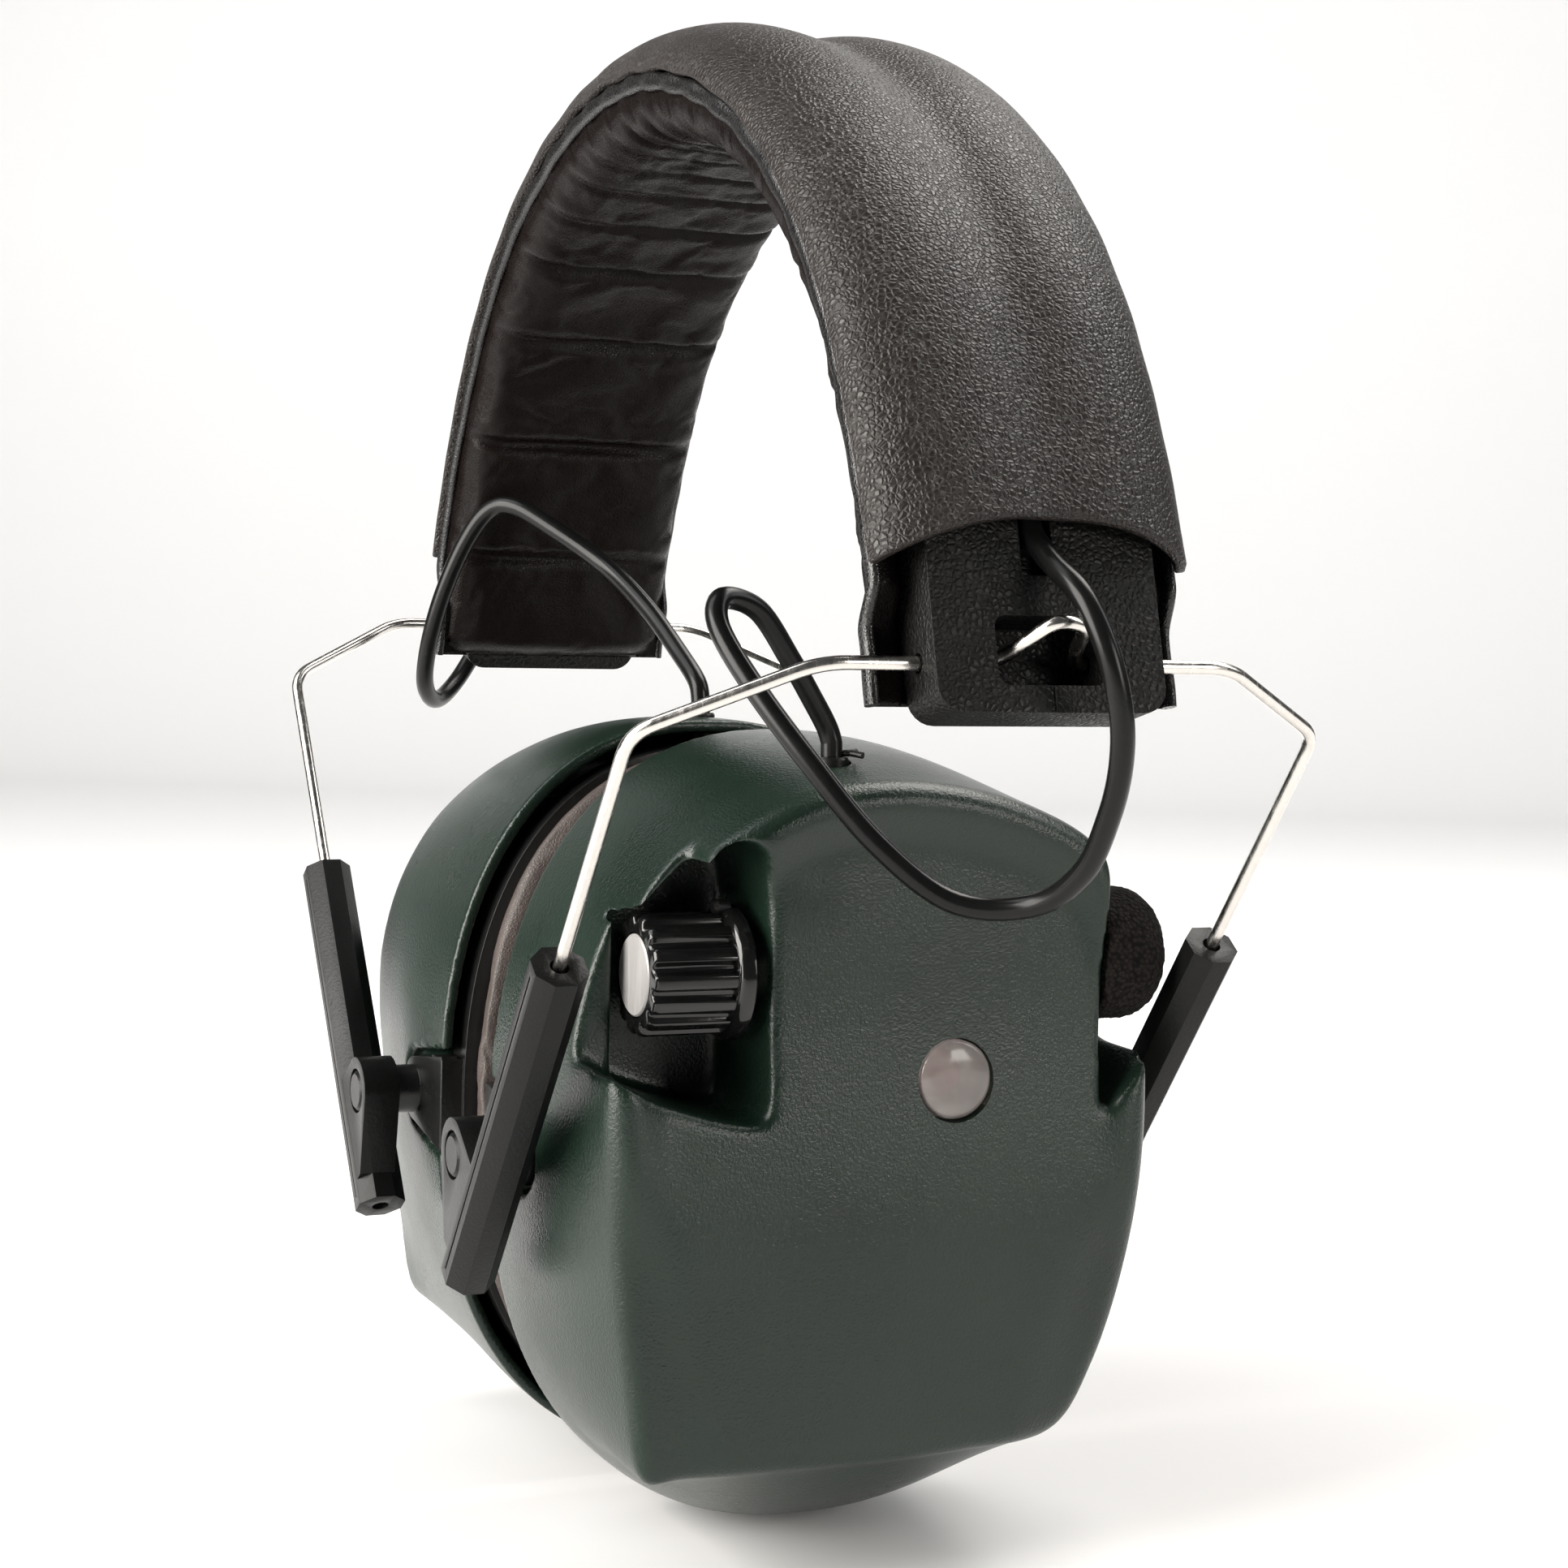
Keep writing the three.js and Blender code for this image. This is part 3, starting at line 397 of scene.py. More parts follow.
def grained_vinyl(name, dark, light, roughness, cell, depth, crease=0.4, shine=0.5):
    """Leather-like vinyl: pebbles divided by fine valleys, over a slower unevenness."""
    material, tree, bsdf = start_material(name, light, roughness)
    vector = coordinates(tree)
    wobble = noise(tree, vector, cell * 0.6, 2)
    warped = tree.nodes.new("ShaderNodeVectorMath")
    warped.operation = "MULTIPLY_ADD"
    shift = tree.nodes.new("ShaderNodeCombineXYZ")
    for socket in shift.inputs:
        tree.links.new(wobble, socket)
    warped.inputs[1].default_value = (0.0006, 0.0006, 0.0006)
    tree.links.new(shift.outputs["Vector"], warped.inputs[0])
    tree.links.new(vector, warped.inputs[2])
    pebbles = ranged(tree, cells(tree, warped.outputs["Vector"], cell), 0.0, 0.28, 0.0, 1.0)
    slow = noise(tree, vector, 120, 4, 0.6)
    height = math_node(tree, "ADD", pebbles, math_node(tree, "MULTIPLY", slow, crease * 6))
    mottle = math_node(tree, "MULTIPLY", slow, ranged(tree, pebbles, 0, 1, 0.7, 1.25))
    two_colors(tree, bsdf, mottle, dark, light)
    tree.links.new(ranged(tree, pebbles, 0, 1, roughness + 0.14, roughness - 0.04), bsdf.inputs["Roughness"])
    bsdf.inputs["Specular IOR Level"].default_value = shine
    bump(tree, bsdf, height, depth)
    return material


def bright_metal(name, color, roughness, stretch, scale, metallic=1.0):
    """Drawn or brushed metal: fine lines along one axis change the gloss."""
    material, tree, bsdf = start_material(name, color, roughness, metallic)
    vector = coordinates(tree, stretch)
    lines = noise(tree, vector, scale, 3, 0.6)
    two_colors(tree, bsdf, lines, tuple(c * 0.78 for c in color), color)
    tree.links.new(ranged(tree, lines, 0.3, 0.7, roughness * 0.7, roughness * 1.5), bsdf.inputs["Roughness"])
    bump(tree, bsdf, lines, 0.00001)
    return material


def open_foam(name, dark, light):
    material, tree, bsdf = start_material(name, light, 0.95)
    vector = coordinates(tree)
    pores = cells(tree, vector, 1700, "F1")
    two_colors(tree, bsdf, ranged(tree, pores, 0.15, 0.75, 1, 0), dark, light)
    bump(tree, bsdf, pores, 0.0003)
    bsdf.inputs["Specular IOR Level"].default_value = 0.15
    return material


def lens_plastic():
    material, tree, bsdf = start_material("lens_plastic", (0.62, 0.55, 0.52), 0.12)
    vector = coordinates(tree)
    cloud = noise(tree, vector, 420, 4, 0.6)
    two_colors(tree, bsdf, cloud, (0.36, 0.29, 0.27), (0.74, 0.70, 0.68))
    tree.links.new(ranged(tree, cloud, 0.3, 0.7, 0.1, 0.22), bsdf.inputs["Roughness"])
    bsdf.inputs["Transmission Weight"].default_value = 0.72
    bsdf.inputs["IOR"].default_value = 1.45
    return material


GREEN = moulded_plastic(
    "cup_green", (0.003, 0.008, 0.005),
    (0.009, 0.021, 0.014), 0.28, 2600, 0.00009, shine=0.4,
)
BLACK = moulded_plastic(
    "black_plastic", (0.003, 0.003, 0.003),
    (0.008, 0.008, 0.008), 0.34, 2200, 0.00004, shine=0.2,
)
BLOCK_BLACK = grained_vinyl(
    "block_black", (0.003, 0.003, 0.003),
    (0.008, 0.0075, 0.007), 0.4, 1300, 0.00008, shine=0.2,
)
PLATE_BLACK = moulded_plastic(
    "plate_black", (0.003, 0.003, 0.003),
    (0.008, 0.008, 0.008), 0.3, 1500, 0.00002,
)
KNOB_BLACK = moulded_plastic("knob_black", (0.003, 0.003, 0.003), (0.007, 0.007, 0.007), 0.1, 900, 0.000006)
LEAD_BLACK = moulded_plastic(
    "lead_black", (0.003, 0.003, 0.003),
    (0.007, 0.007, 0.007), 0.24, 700, 0.00001, shine=0.22,
)
COVER_VINYL = grained_vinyl(
    "cover_vinyl", (0.007, 0.0055, 0.005),
    (0.020, 0.0155, 0.013), 0.38, 1500, 0.00009, shine=0.36,
)
PAD_VINYL = grained_vinyl(
    "pad_vinyl", (0.003, 0.002, 0.0018),
    (0.008, 0.0055, 0.005), 0.26, 2400, 0.00002, shine=0.1,
)
CUSHION_VINYL = grained_vinyl(
    "cushion_vinyl", (0.028, 0.020, 0.017),
    (0.062, 0.046, 0.040), 0.46, 2400, 0.00003,
)
PIPING_VINYL = grained_vinyl(
    "piping_vinyl", (0.003, 0.003, 0.003),
    (0.01, 0.009, 0.009), 0.22, 1800, 0.00003,
)
WIRE_STEEL = bright_metal("wire_steel", (0.80, 0.77, 0.73), 0.2, (1, 1, 0.1), 1500)
SPRING_STEEL = bright_metal("spring_steel", (0.55, 0.56, 0.57), 0.3, (0.1, 1, 0.1), 1200)
SILVER = bright_metal("brushed_silver", (0.40, 0.39, 0.38), 0.42, (1, 1, 0.05), 2600, metallic=0.35)
FOAM = open_foam("open_foam", (0.002, 0.0016, 0.0015), (0.015, 0.012, 0.011))
LENS = lens_plastic()
LED_RED = moulded_plastic("led_red", (0.30, 0.02, 0.015), (0.55, 0.05, 0.04), 0.2, 600, 0.000005)
BOARD = moulded_plastic("board_green", (0.01, 0.09, 0.03), (0.03, 0.16, 0.06), 0.35, 500, 0.00001)
CELL = bright_metal("cell_wrap", (0.42, 0.44, 0.46), 0.35, (1, 1, 0.2), 800)


# ---- headband -----------------------------------------------------------------------------------
def seam_frame(s):
    """A point on the seam line at an arc length from the crown, and its outward direction."""
    sign, s = (1 if s >= 0 else -1), abs(s)
    if s <= CROWN_ARC:
        angle = s / CROWN_R
        x, z = CROWN_R * math.sin(angle), PAD_DEPTH - CROWN_R + CROWN_R * math.cos(angle)
    else:
        angle = CROWN_ANGLE + (s - CROWN_ARC) / LEG_R
        shift = CROWN_R - LEG_R
        x = shift * math.sin(CROWN_ANGLE) + LEG_R * math.sin(angle)
        z = PAD_DEPTH - CROWN_R + shift * math.cos(CROWN_ANGLE) + LEG_R * math.cos(angle)
    return Vector((sign * x, 0, z)), Vector((sign * math.sin(angle), 0, math.cos(angle)))


def band_point(s, y, height):
    """A point at a width and a height above the seam line."""
    p, n = seam_frame(s)
    return (p.x + n.x * height, y, p.z + n.z * height)


def ripple(a, b, seed):
    """A smooth repeatable unevenness from about -1 to 1."""
    total = 0.0
    for k, (fa, fb) in enumerate(((1.0, 0.7), (1.9, -1.3), (3.1, 2.3), (4.7, -3.7))):
        total += math.sin(fa * a + fb * b + seed * (k + 1.3)) / (k + 1)
    return total / 2.1


def cover_end(y):
    return HALF_ARC - (COVER_END - COVER_ARCH_R + math.sqrt(COVER_ARCH_R**2 - y * y))


def headband_cover():
    """Padded vinyl over the spring, with two long lobes and a shallow valley between them."""
    across, along = 49, 240
    points = np.zeros((along, across, 3))
    for j in range(across):
        u = -1 + 2 * j / (across - 1)
        u = math.copysign(abs(u) ** 0.8, u)
        y = u * (BAND_HALF_WIDTH + 0.1)
        end = cover_end(min(abs(y), BAND_HALF_WIDTH))
        dome = (1 - abs(u) ** 3.4) ** 0.62
        for i in range(along):
            s = -end + 2 * end * i / (along - 1)
            near_end = step(end - abs(s), 0, 26)
            valley = 1.35 * math.exp(-((u - 0.03) / 0.26) ** 2) * (0.55 + 0.45 * near_end)
            height = 0.4 + dome * (5.75 + 0.35 * near_end) - valley * dome
            height += 0.13 * ripple(s / 9, y / 7, 2.0) * dome
            gather = math.exp(-((1 - abs(u)) / 0.12) ** 2)
            crown = 0.4 + 0.6 * math.exp(-(s / 60) ** 2)
            height += 0.16 * gather * math.sin(s / 1.9 + 1.3 * math.sin(s / 13)) * crown
            points[i, j] = band_point(s, y, height)
    obj = grid("headband_cover", points, COVER_VINYL)
    modifier = obj.modifiers.new("thickness", "SOLIDIFY")
    modifier.thickness = 1.3 * MM
    modifier.offset = -1
    applied(obj)
    outward(obj)
    return bevelled(obj, 0.35, 2, 60, 60)


def end_drop(s):
    """How far the pad's ends drop in behind the yoke wire, from 0 to 1."""
    return 1 - step(HALF_ARC - abs(s), 3.5, 9.0)


def edge_piping(side_y):
    """The glossy binding along one edge of the band, slightly gathered."""
    count = 420
    end = HALF_ARC - PAD_END
    loops = []
    sides = 10
    for i in range(count):
        s = -end + 2 * end * i / (count - 1)
        pleat = math.sin(s / 1.35 + 2.2 * math.sin(s / 17)) * (0.3 + 0.7 * math.exp(-(s / 55) ** 2))
        y = side_y * (BAND_HALF_WIDTH + 0.05 + 0.14 * pleat + 0.12 * ripple(s / 6, side_y, 4.0))
        height = -0.7 + 0.2 * ripple(s / 8, side_y * 2, 7.0) - 3.0 * end_drop(s)
        loop = []
        for k in range(sides):
            a = 2 * math.pi * k / sides
            loop.append(band_point(s, y + 0.75 * math.cos(a), height + (1.25 + 0.12 * pleat) * math.sin(a)))
        loops.append(loop)
    return loft("headband_piping_" + ("front" if side_y > 0 else "rear"), loops, PIPING_VINYL, 60)


PLEATS = (104.0, 84.0, 64.0, 48.0, 36.0, 26.0, 17.5, 10.0, 3.5)


def pad_form(swell):
    """Grid of the pad's underside from edge to edge, with its sewn channels pinched in."""
    across, along = 57, 420
    end = HALF_ARC - PAD_END
    points = np.zeros((along, across, 3))
    pins = np.zeros((along, across))
    for i in range(along):
        s = -end + 2 * end * i / (along - 1)
        edge = end - abs(s)
        close = math.sqrt(max(0.0, 1 - (1 - min(edge / 4.0, 1)) ** 2))
        pinch = sum(math.exp(-((abs(s) - p) / 1.1) ** 2) for p in PLEATS)
        puff = sum(math.exp(-((abs(s) - p + 2.6) / 1.9) ** 2) for p in PLEATS)
        for j in range(across):
            u = -1 + 2 * j / (across - 1)
            y = BAND_HALF_WIDTH * math.copysign(abs(u) ** 0.75, u) * (0.985 + 0.015 * close)
            round_side = (1 - abs(u) ** 5.5) ** 0.5
            lean = 1.4 * math.sin(1.7 * u + abs(s) * 0.31)
            fold = pinch * (0.7 + 0.3 * math.sin(2.2 * u + abs(s) * 0.7)) * (1 - 0.3 * abs(u))
            depth = 1.3 + (6.0 * close + swell) * round_side + (0.45 * puff - 1.9 * fold) * round_side
            depth += 0.16 * ripple(s / 6.5 + 0.2 * lean, y / 6.0, 1.0) * round_side
            points[i, j] = band_point(s, y, -max(depth, 1.3 + 3.2 * end_drop(s)))
            pins[i, j] = 1.0 if j in (0, across - 1) or i in (0, along - 1) else min(1.0, 0.85 * pinch)
    return points, pins


def headband_pad():
    """Soft pleated pad. Its channels are pinned while air pressure swells the vinyl between them."""
    points, pins = pad_form(0.0)
    obj = grid("headband_pad", points, PAD_VINYL)
    face_down(obj)
    inflate(obj, pins.reshape(-1), pressure=2.2, cap=0.7, spare=0.012)
    return close_pad(obj, points.shape[:2])


def face_down(obj):
    """Turns the strip's faces towards the head if they look at the cover instead."""
    middle = obj.data.polygons[len(obj.data.polygons) // 2]
    if middle.normal.z >= 0:
        obj.data.flip_normals()


def inflate(obj, pins, pressure, cap, spare, frames=20, stiffness=12):
    """Cloth with air pressure and spare material, held where pins is 1; a point moves cap mm at most."""
    group = obj.vertex_groups.new(name="held")
    for index, weight in enumerate(pins):
        if weight > 0.02:
            group.add([index], float(weight), "REPLACE")
    before = np.empty(len(obj.data.vertices) * 3)
    obj.data.vertices.foreach_get("co", before)
    modifier = obj.modifiers.new("cloth", "CLOTH")
    cloth = modifier.settings
    cloth.quality = 6
    cloth.mass = 0.15
    cloth.tension_stiffness = cloth.compression_stiffness = stiffness
    cloth.shear_stiffness = stiffness / 3
    cloth.bending_stiffness = 0.04
    cloth.use_pressure = True
    cloth.uniform_pressure_force = pressure
    cloth.shrink_min = -spare
    cloth.vertex_group_mass = "held"
    cloth.pin_stiffness = 1
    cloth.effector_weights.gravity = 0
    modifier.collision_settings.use_self_collision = False
    scene = bpy.context.scene
    modifier.point_cache.frame_start, modifier.point_cache.frame_end = 1, frames
    for number in range(1, frames + 1):
        scene.frame_set(number)
    graph = bpy.context.evaluated_depsgraph_get()
    shaped = obj.evaluated_get(graph).to_mesh()
    after = np.empty(len(shaped.vertices) * 3)
    shaped.vertices.foreach_get("co", after)
    obj.evaluated_get(graph).to_mesh_clear()
    obj.modifiers.clear()
    obj.vertex_groups.clear()
    move = (after - before).reshape(-1, 3)
    size = np.linalg.norm(move, axis=1, keepdims=True)
    limit = cap * MM
    move *= np.tanh(size / limit) * limit / np.maximum(size, 1e-9)
    obj.data.vertices.foreach_set("co", before + move.reshape(-1))
    obj.data.update()
    scene.frame_set(1)
    print(f"swelled {obj.name}: most {size.max() / MM:.2f} mm, mean {size.mean() / MM:.2f} mm")


def close_pad(obj, shape):
    """Adds the pad's upper face, which dips where the end blocks lie on it."""
    rows, cols = shape
    co = np.array([v.co for v in obj.data.vertices]) / MM
    under = co.reshape(rows, cols, 3)
    end = HALF_ARC - PAD_END
    top = np.zeros((rows, cols, 3))
    for i in range(rows):
        s = -end + 2 * end * i / (rows - 1)
        low_leg = HALF_ARC - abs(s)
        for j in range(cols):
            y = under[i, j, 1]
            dip = 3.6 * (1 - step(low_leg, 19.6, 20.6)) * (1 - step(abs(y), 14.2, 15.0))
            top[i, j] = band_point(s, y, -1.3 - max(dip, 3.0 * end_drop(s)))
    for row in (0, rows - 1):
        top[row] = under[row]
    top[:, 0], top[:, -1] = under[:, 0], under[:, -1]
    verts = np.concatenate([under.reshape(-1, 3), top.reshape(-1, 3)])
    faces = []
    for i in range(rows - 1):
        for j in range(cols - 1):
            a, b = i * cols + j, i * cols + j + 1
            c, d = (i + 1) * cols + j + 1, (i + 1) * cols + j
            faces.append((a, b, c, d))
            m = rows * cols
            faces.append((m + d, m + c, m + b, m + a))
    closed = make("headband_pad", verts, faces, PAD_VINYL)
    bpy.data.objects.remove(obj)
    bm = bmesh.new()
    bm.from_mesh(closed.data)
    bmesh.ops.remove_doubles(bm, verts=bm.verts, dist=0.00001)
    bmesh.ops.recalc_face_normals(bm, faces=bm.faces)
    bm.to_mesh(closed.data)
    bm.free()
    closed.name = "headband_pad"
    shade(closed)
    return closed


def band_spring():
    end = HALF_ARC - 12
    points = []
    for i in range(121):
        s = -end + 2 * end * i / 120
        points.append([band_point(s, y, h) for y, h in ((-13, 0), (13, 0), (13, -1), (-13, -1))])
    return loft("band_spring", points, SPRING_STEEL, 40)


def band_across(piece):
    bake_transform(piece)


def build_headband():
    cover = headband_cover()
    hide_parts("headband_cover_left", "headband_cover_right")
    pad = headband_pad()
    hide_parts("headband_pad_left", "headband_pad_right")
    spring = band_spring()
    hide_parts("band_spring_left", "band_spring_right")
    pieces = [cover, pad, spring]
    for side_y in (-1, 1):
        piping = edge_piping(side_y)
        pieces.append(piping)
    for piece in pieces:
        band_across(piece)


# ---- end blocks ---------------------------------------------------------------------------------
def block_matrix():
    p, _ = seam_frame(HALF_ARC)
    return Matrix.Translation(p) @ Matrix.Rotation(LEG_ANGLE - math.pi / 2, 4, "Y")


def in_block(obj):
    turn = block_matrix()
    turn.translation = turn.translation * MM
    obj.data.transform(turn)
    return obj


def rounded_rectangle(half_width, half_height, r, middle):
    outline = []
    for sy, sz, a0 in ((1, 1, 0), (-1, 1, 90), (-1, -1, 180), (1, -1, 270)):
        for k in range(7):
            a = math.radians(a0 + 15 * k)
            y = sy * (half_width - r) + r * math.cos(a)
            outline.append((y, middle + sz * (half_height - r) + r * math.sin(a)))
    return outline


def end_block():
    """Moulded block with a rounded outside, a window for the yoke wire and a channel for the lead."""
    outline = rounded_rectangle(14.0, 12.75, 3.0, 6.25)
    obj = prism_x("right_end_block_body", outline, -4.4, 3.2, BLOCK_BLACK)
    window = [(y, z) for y, z in rounded_rectangle(6.5, 3.8, 1.3, 0.3)]
    boolean(obj, prism_x("window", window, -3.4, 10))
    boolean(obj, box((0.3, 10), (-2.55, 1.35), (8.6, 20)))
    boolean(obj, box((3.02, 10), (-0.12, 0.12), (-8, -3.2)))
    hole = tube("hole", [(2.4, -20, -0.6), (2.4, 20, -0.6)], WIRE_R + 0.3, 24)
    turn = block_matrix()
    local = turn.inverted() @ Vector((SWING[0], 0, SWING[1]))
    hole.data.transform(Matrix.Translation(((local.x - 2.4) * MM, 0, (local.z + 0.6) * MM)))
    boolean(obj, hole)
    bevelled(obj, 0.7, 4, 40, 30)
    return in_block(obj)


# ---- yoke wire ----------------------------------------------------------------------------------
def leg_point(along, y):
    return Vector((LEG_TOP[0] - along * math.sin(LEG_LEAN), y, LEG_TOP[1] - along * math.cos(LEG_LEAN)))


def kink_point(y, reach):
    return Vector((SWING[0] + reach * math.cos(KINK_ANGLE), y, SWING[1] + reach * math.sin(KINK_ANGLE)))


def rounded_run(corners, bend, steps=7):
    """Straight runs joined by round bends."""
    found = [corners[0]]
    for i in range(1, len(corners) - 1):
        corner = corners[i]
        back, ahead = corners[i - 1] - corner, corners[i + 1] - corner
        reach = min(bend, 0.45 * back.length, 0.45 * ahead.length)
        start, end = corner + back.normalized() * reach, corner + ahead.normalized() * reach
        for k in range(steps + 1):
            t = k / steps
            found.append(start * (1 - t) ** 2 + corner * (2 * t * (1 - t)) + end * t**2)
    found.append(corners[-1])
    return found


def yoke_wire():
    legs = SLEEVE_FROM_BEND + 18
    corners = [
        leg_point(legs, -YOKE_Y),
        leg_point(0, -YOKE_Y),
        Vector((SWING[0], -SHOULDER_Y, SWING[1])),
        kink_point(-4.8, 0),
        kink_point(-0.8, KINK_REACH),
        kink_point(3.2, KINK_REACH - 1),
        kink_point(4.6, 0),
        Vector((SWING[0], SHOULDER_Y, SWING[1])),
        leg_point(0, YOKE_Y),
        leg_point(legs, YOKE_Y),
    ]
    return tube("right_yoke_wire_bright", rounded_run(corners, 3), WIRE_R, 20, WIRE_STEEL, 50)


# ---- sleeves and pivots -------------------------------------------------------------------------
def lean_matrix(y):
    middle = leg_point(SLEEVE_FROM_BEND + SLEEVE_LENGTH / 2, y)
    return Matrix.Translation(middle) @ Matrix.Rotation(LEG_LEAN, 4, "Y")


def in_mm(matrix):
    scaled = matrix.copy()
    scaled.translation = scaled.translation * MM
    return scaled


def octagon(radius, z):
    corners = [math.pi / 8 + k * math.pi / 4 for k in range(8)]
    return [(radius * math.cos(a), radius * math.sin(a), z) for a in corners]


def sleeve_lug():
    """The lug round the pin, running out along the sleeve, with a seat for the pin's head."""
    ear_outer, ear_inner = YOKE_Y + SLEEVE_FLATS / 2 - 0.12, 41.4
    outline = [(SLEEVE_TO_PIVOT, EAR_R), (0, EAR_R)]
    for k in range(1, 17):
        a = math.radians(90 + k * 126 / 16)
        outline.append((EAR_R * math.cos(a), EAR_R * math.sin(a)))
    outline += [(SLEEVE_TO_PIVOT - SLEEVE_FLATS / 2, -10.5), (SLEEVE_TO_PIVOT, -10.5)]
    lug = loft("lug", [[(x, -y, z) for x, z in outline] for y in (ear_inner, ear_outer)])
    lug.data.transform(in_mm(Matrix.Translation((PIVOT[0], 0, PIVOT[1])) @ Matrix.Rotation(LEG_LEAN, 4, "Y")))
    boolean(lug, tube("seat", [(PIVOT[0], -60, PIVOT[1]), (PIVOT[0], -ear_outer + 1.1, PIVOT[1])], 3.05, 40))
    boolean(lug, tube("pin_hole", [(PIVOT[0], -60, PIVOT[1]), (PIVOT[0], -30, PIVOT[1])], 1.8, 32))
    return lug


def rear_sleeve():
    outer = SLEEVE_FLATS / 2 / math.cos(math.pi / 8)
    half = SLEEVE_LENGTH / 2
    obj = loft("right_rear_sleeve_body", [octagon(outer, -half), octagon(outer, half)], BLACK)
    obj.data.transform(in_mm(lean_matrix(-YOKE_Y)))
    boolean(obj, sleeve_lug(), "UNION")
    through = tube("through", [(0, 0, -half - 2), (0, 0, half + 2)], 1.15, 32)
    through.data.transform(in_mm(lean_matrix(-YOKE_Y)))
    boolean(obj, through)
    groove = box((-0.16, 0.16), (-4, -SLEEVE_FLATS / 2 + 0.22), (-half + 1.5, half - 1.5))
    groove.data.transform(in_mm(lean_matrix(-YOKE_Y)))
    boolean(obj, groove)
    return bevelled(obj, 0.32, 3, 30, 25)


def rear_pin():
    top = YOKE_Y + SLEEVE_FLATS / 2
    profile = [(0, 0), (2.3, 0), (2.75, 0.35), (2.75, 0.9), (1.5, 1.05), (1.5, 9.4), (1.2, 9.8), (0, 9.8)]
    return revolved("right_rear_pin_body", profile, 48, BLACK, 30, along_y(PIVOT[0], -top, PIVOT[1]))


def mirror_y(obj, name):
    copy = link(bpy.data.objects.new(name, obj.data.copy()))
    copy.data.transform(Matrix.Scale(-1, 4, (0, 1, 0)))
    copy.data.flip_normals()
    return copy


# ---- cup shells ---------------------------------------------------------------------------------
PANEL_EDGE = (
    (-30.3, -162.0), (-25.0, -162.5), (-12.0, -162.9), (0.0, -163.0), (12.0, -162.6), (24.4, -161.4),
    (30.2, -153.4), (34.4, -141.2), (36.2, -128.8), (36.4, -117.3), (35.4, -104.0), (32.6, -94.5),
    (27.4, -86.8), (15.8, -81.6), (3.5, -79.4), (-7.3, -79.8), (-14.7, -82.0), (-22.0, -86.4),
    (-28.4, -92.6), (-33.2, -101.0), (-35.7, -110.0), (-36.1, -118.0), (-35.6, -125.3), (-34.6, -134.9),
    (-32.6, -149.6),
)
CENTRE = (0.0, -123.0)
OUTLINE_SIDES = 200


def superellipse(angle, half_width, half_height, middle, power):
    c, s = math.cos(angle), math.sin(angle)
    r = (abs(c / half_width) ** power + abs(s / half_height) ** power) ** (-1 / power)
    return r * c, middle + r * s


def polar_outline(points):
    """Distance from the cup's centre to a closed outline at evenly spaced angles."""
    dense = smooth_path(points, 1600, closed=True)
    angle = np.arctan2(dense[:, 1] - CENTRE[1], dense[:, 0] - CENTRE[0])
    reach = np.hypot(dense[:, 1] - CENTRE[1], dense[:, 0] - CENTRE[0])
    order = np.argsort(angle)
    wanted = np.linspace(-math.pi, math.pi, OUTLINE_SIDES, endpoint=False)
    return np.interp(wanted, angle[order], reach[order], period=2 * math.pi)


def rim_outline(half_width=38.0, top=-75.5, bottom=-177.5, power=2.3):
    angles = np.linspace(0, 2 * math.pi, 400, endpoint=False)
    return [superellipse(a, half_width, (top - bottom) / 2, (top + bottom) / 2, power) for a in angles]


def ring_at(reach, x):
    angles = np.linspace(-math.pi, math.pi, OUTLINE_SIDES, endpoint=False)
    y = CENTRE[0] + reach * np.cos(angles)
    z = CENTRE[1] + reach * np.sin(angles)
    depth = np.full(OUTLINE_SIDES, x) if np.isscalar(x) else x
    return np.stack([depth, y, z], axis=1)


def face_depth(y, z, inset):
    """Depth of the outer face: a dish under the brow and two soft facets at the lower corners."""
    dish = 2.3 * step(inset, 2.0, 8.5) * step(z, -136, -104)
    side = step(-y - 18 - 0.30 * (z + 162), 0, 7) * step(-z, 122, 136)
    other = step(y - 16 - 0.30 * (z + 162), 0, 8) * step(-z, 128, 142)
    return FACE_X + 0.5 - dish - 1.5 * side * (1 - step(inset, 0, 26) * 0.4) - 0.9 * other


def cup_form(inset, skirt):
    """The cup's outer form as a closed solid; inset shrinks it by the wall."""
    rim = polar_outline(rim_outline()) - inset
    panel = polar_outline(PANEL_EDGE) - inset
    rings = []
    for x in np.linspace(skirt, RIM_X, 6, endpoint=False):
        rings.append(ring_at(rim, x))
    for t in np.linspace(0, 1, 34):
        x = RIM_X + (PANEL_X - inset - RIM_X) * t
        rings.append(ring_at(panel + (rim - panel) * (1 - t**2.1), x))
    radius = FACE_X - PANEL_X + 0.5
    for k in range(1, 9):
        a = math.radians(90 * k / 8)
        drop = radius * (1 - math.cos(a))
        ring = ring_at(panel - drop, 0.0)
        ring[:, 0] = [
            PANEL_X - inset + (face_depth(y, z, drop) - PANEL_X) * math.sin(a) for _, y, z in ring
        ]
        rings.append(ring)
    edge = panel - radius
    for f in np.linspace(1, 0.02, 40)[1:]:
        ring = ring_at(edge * f, 0.0)
        inside = radius + (1 - f) * edge
        ring[:, 0] = [face_depth(y, z, d) - inset for (_, y, z), d in zip(ring, inside)]
        rings.append(ring)
    return loft("cup_form", rings)


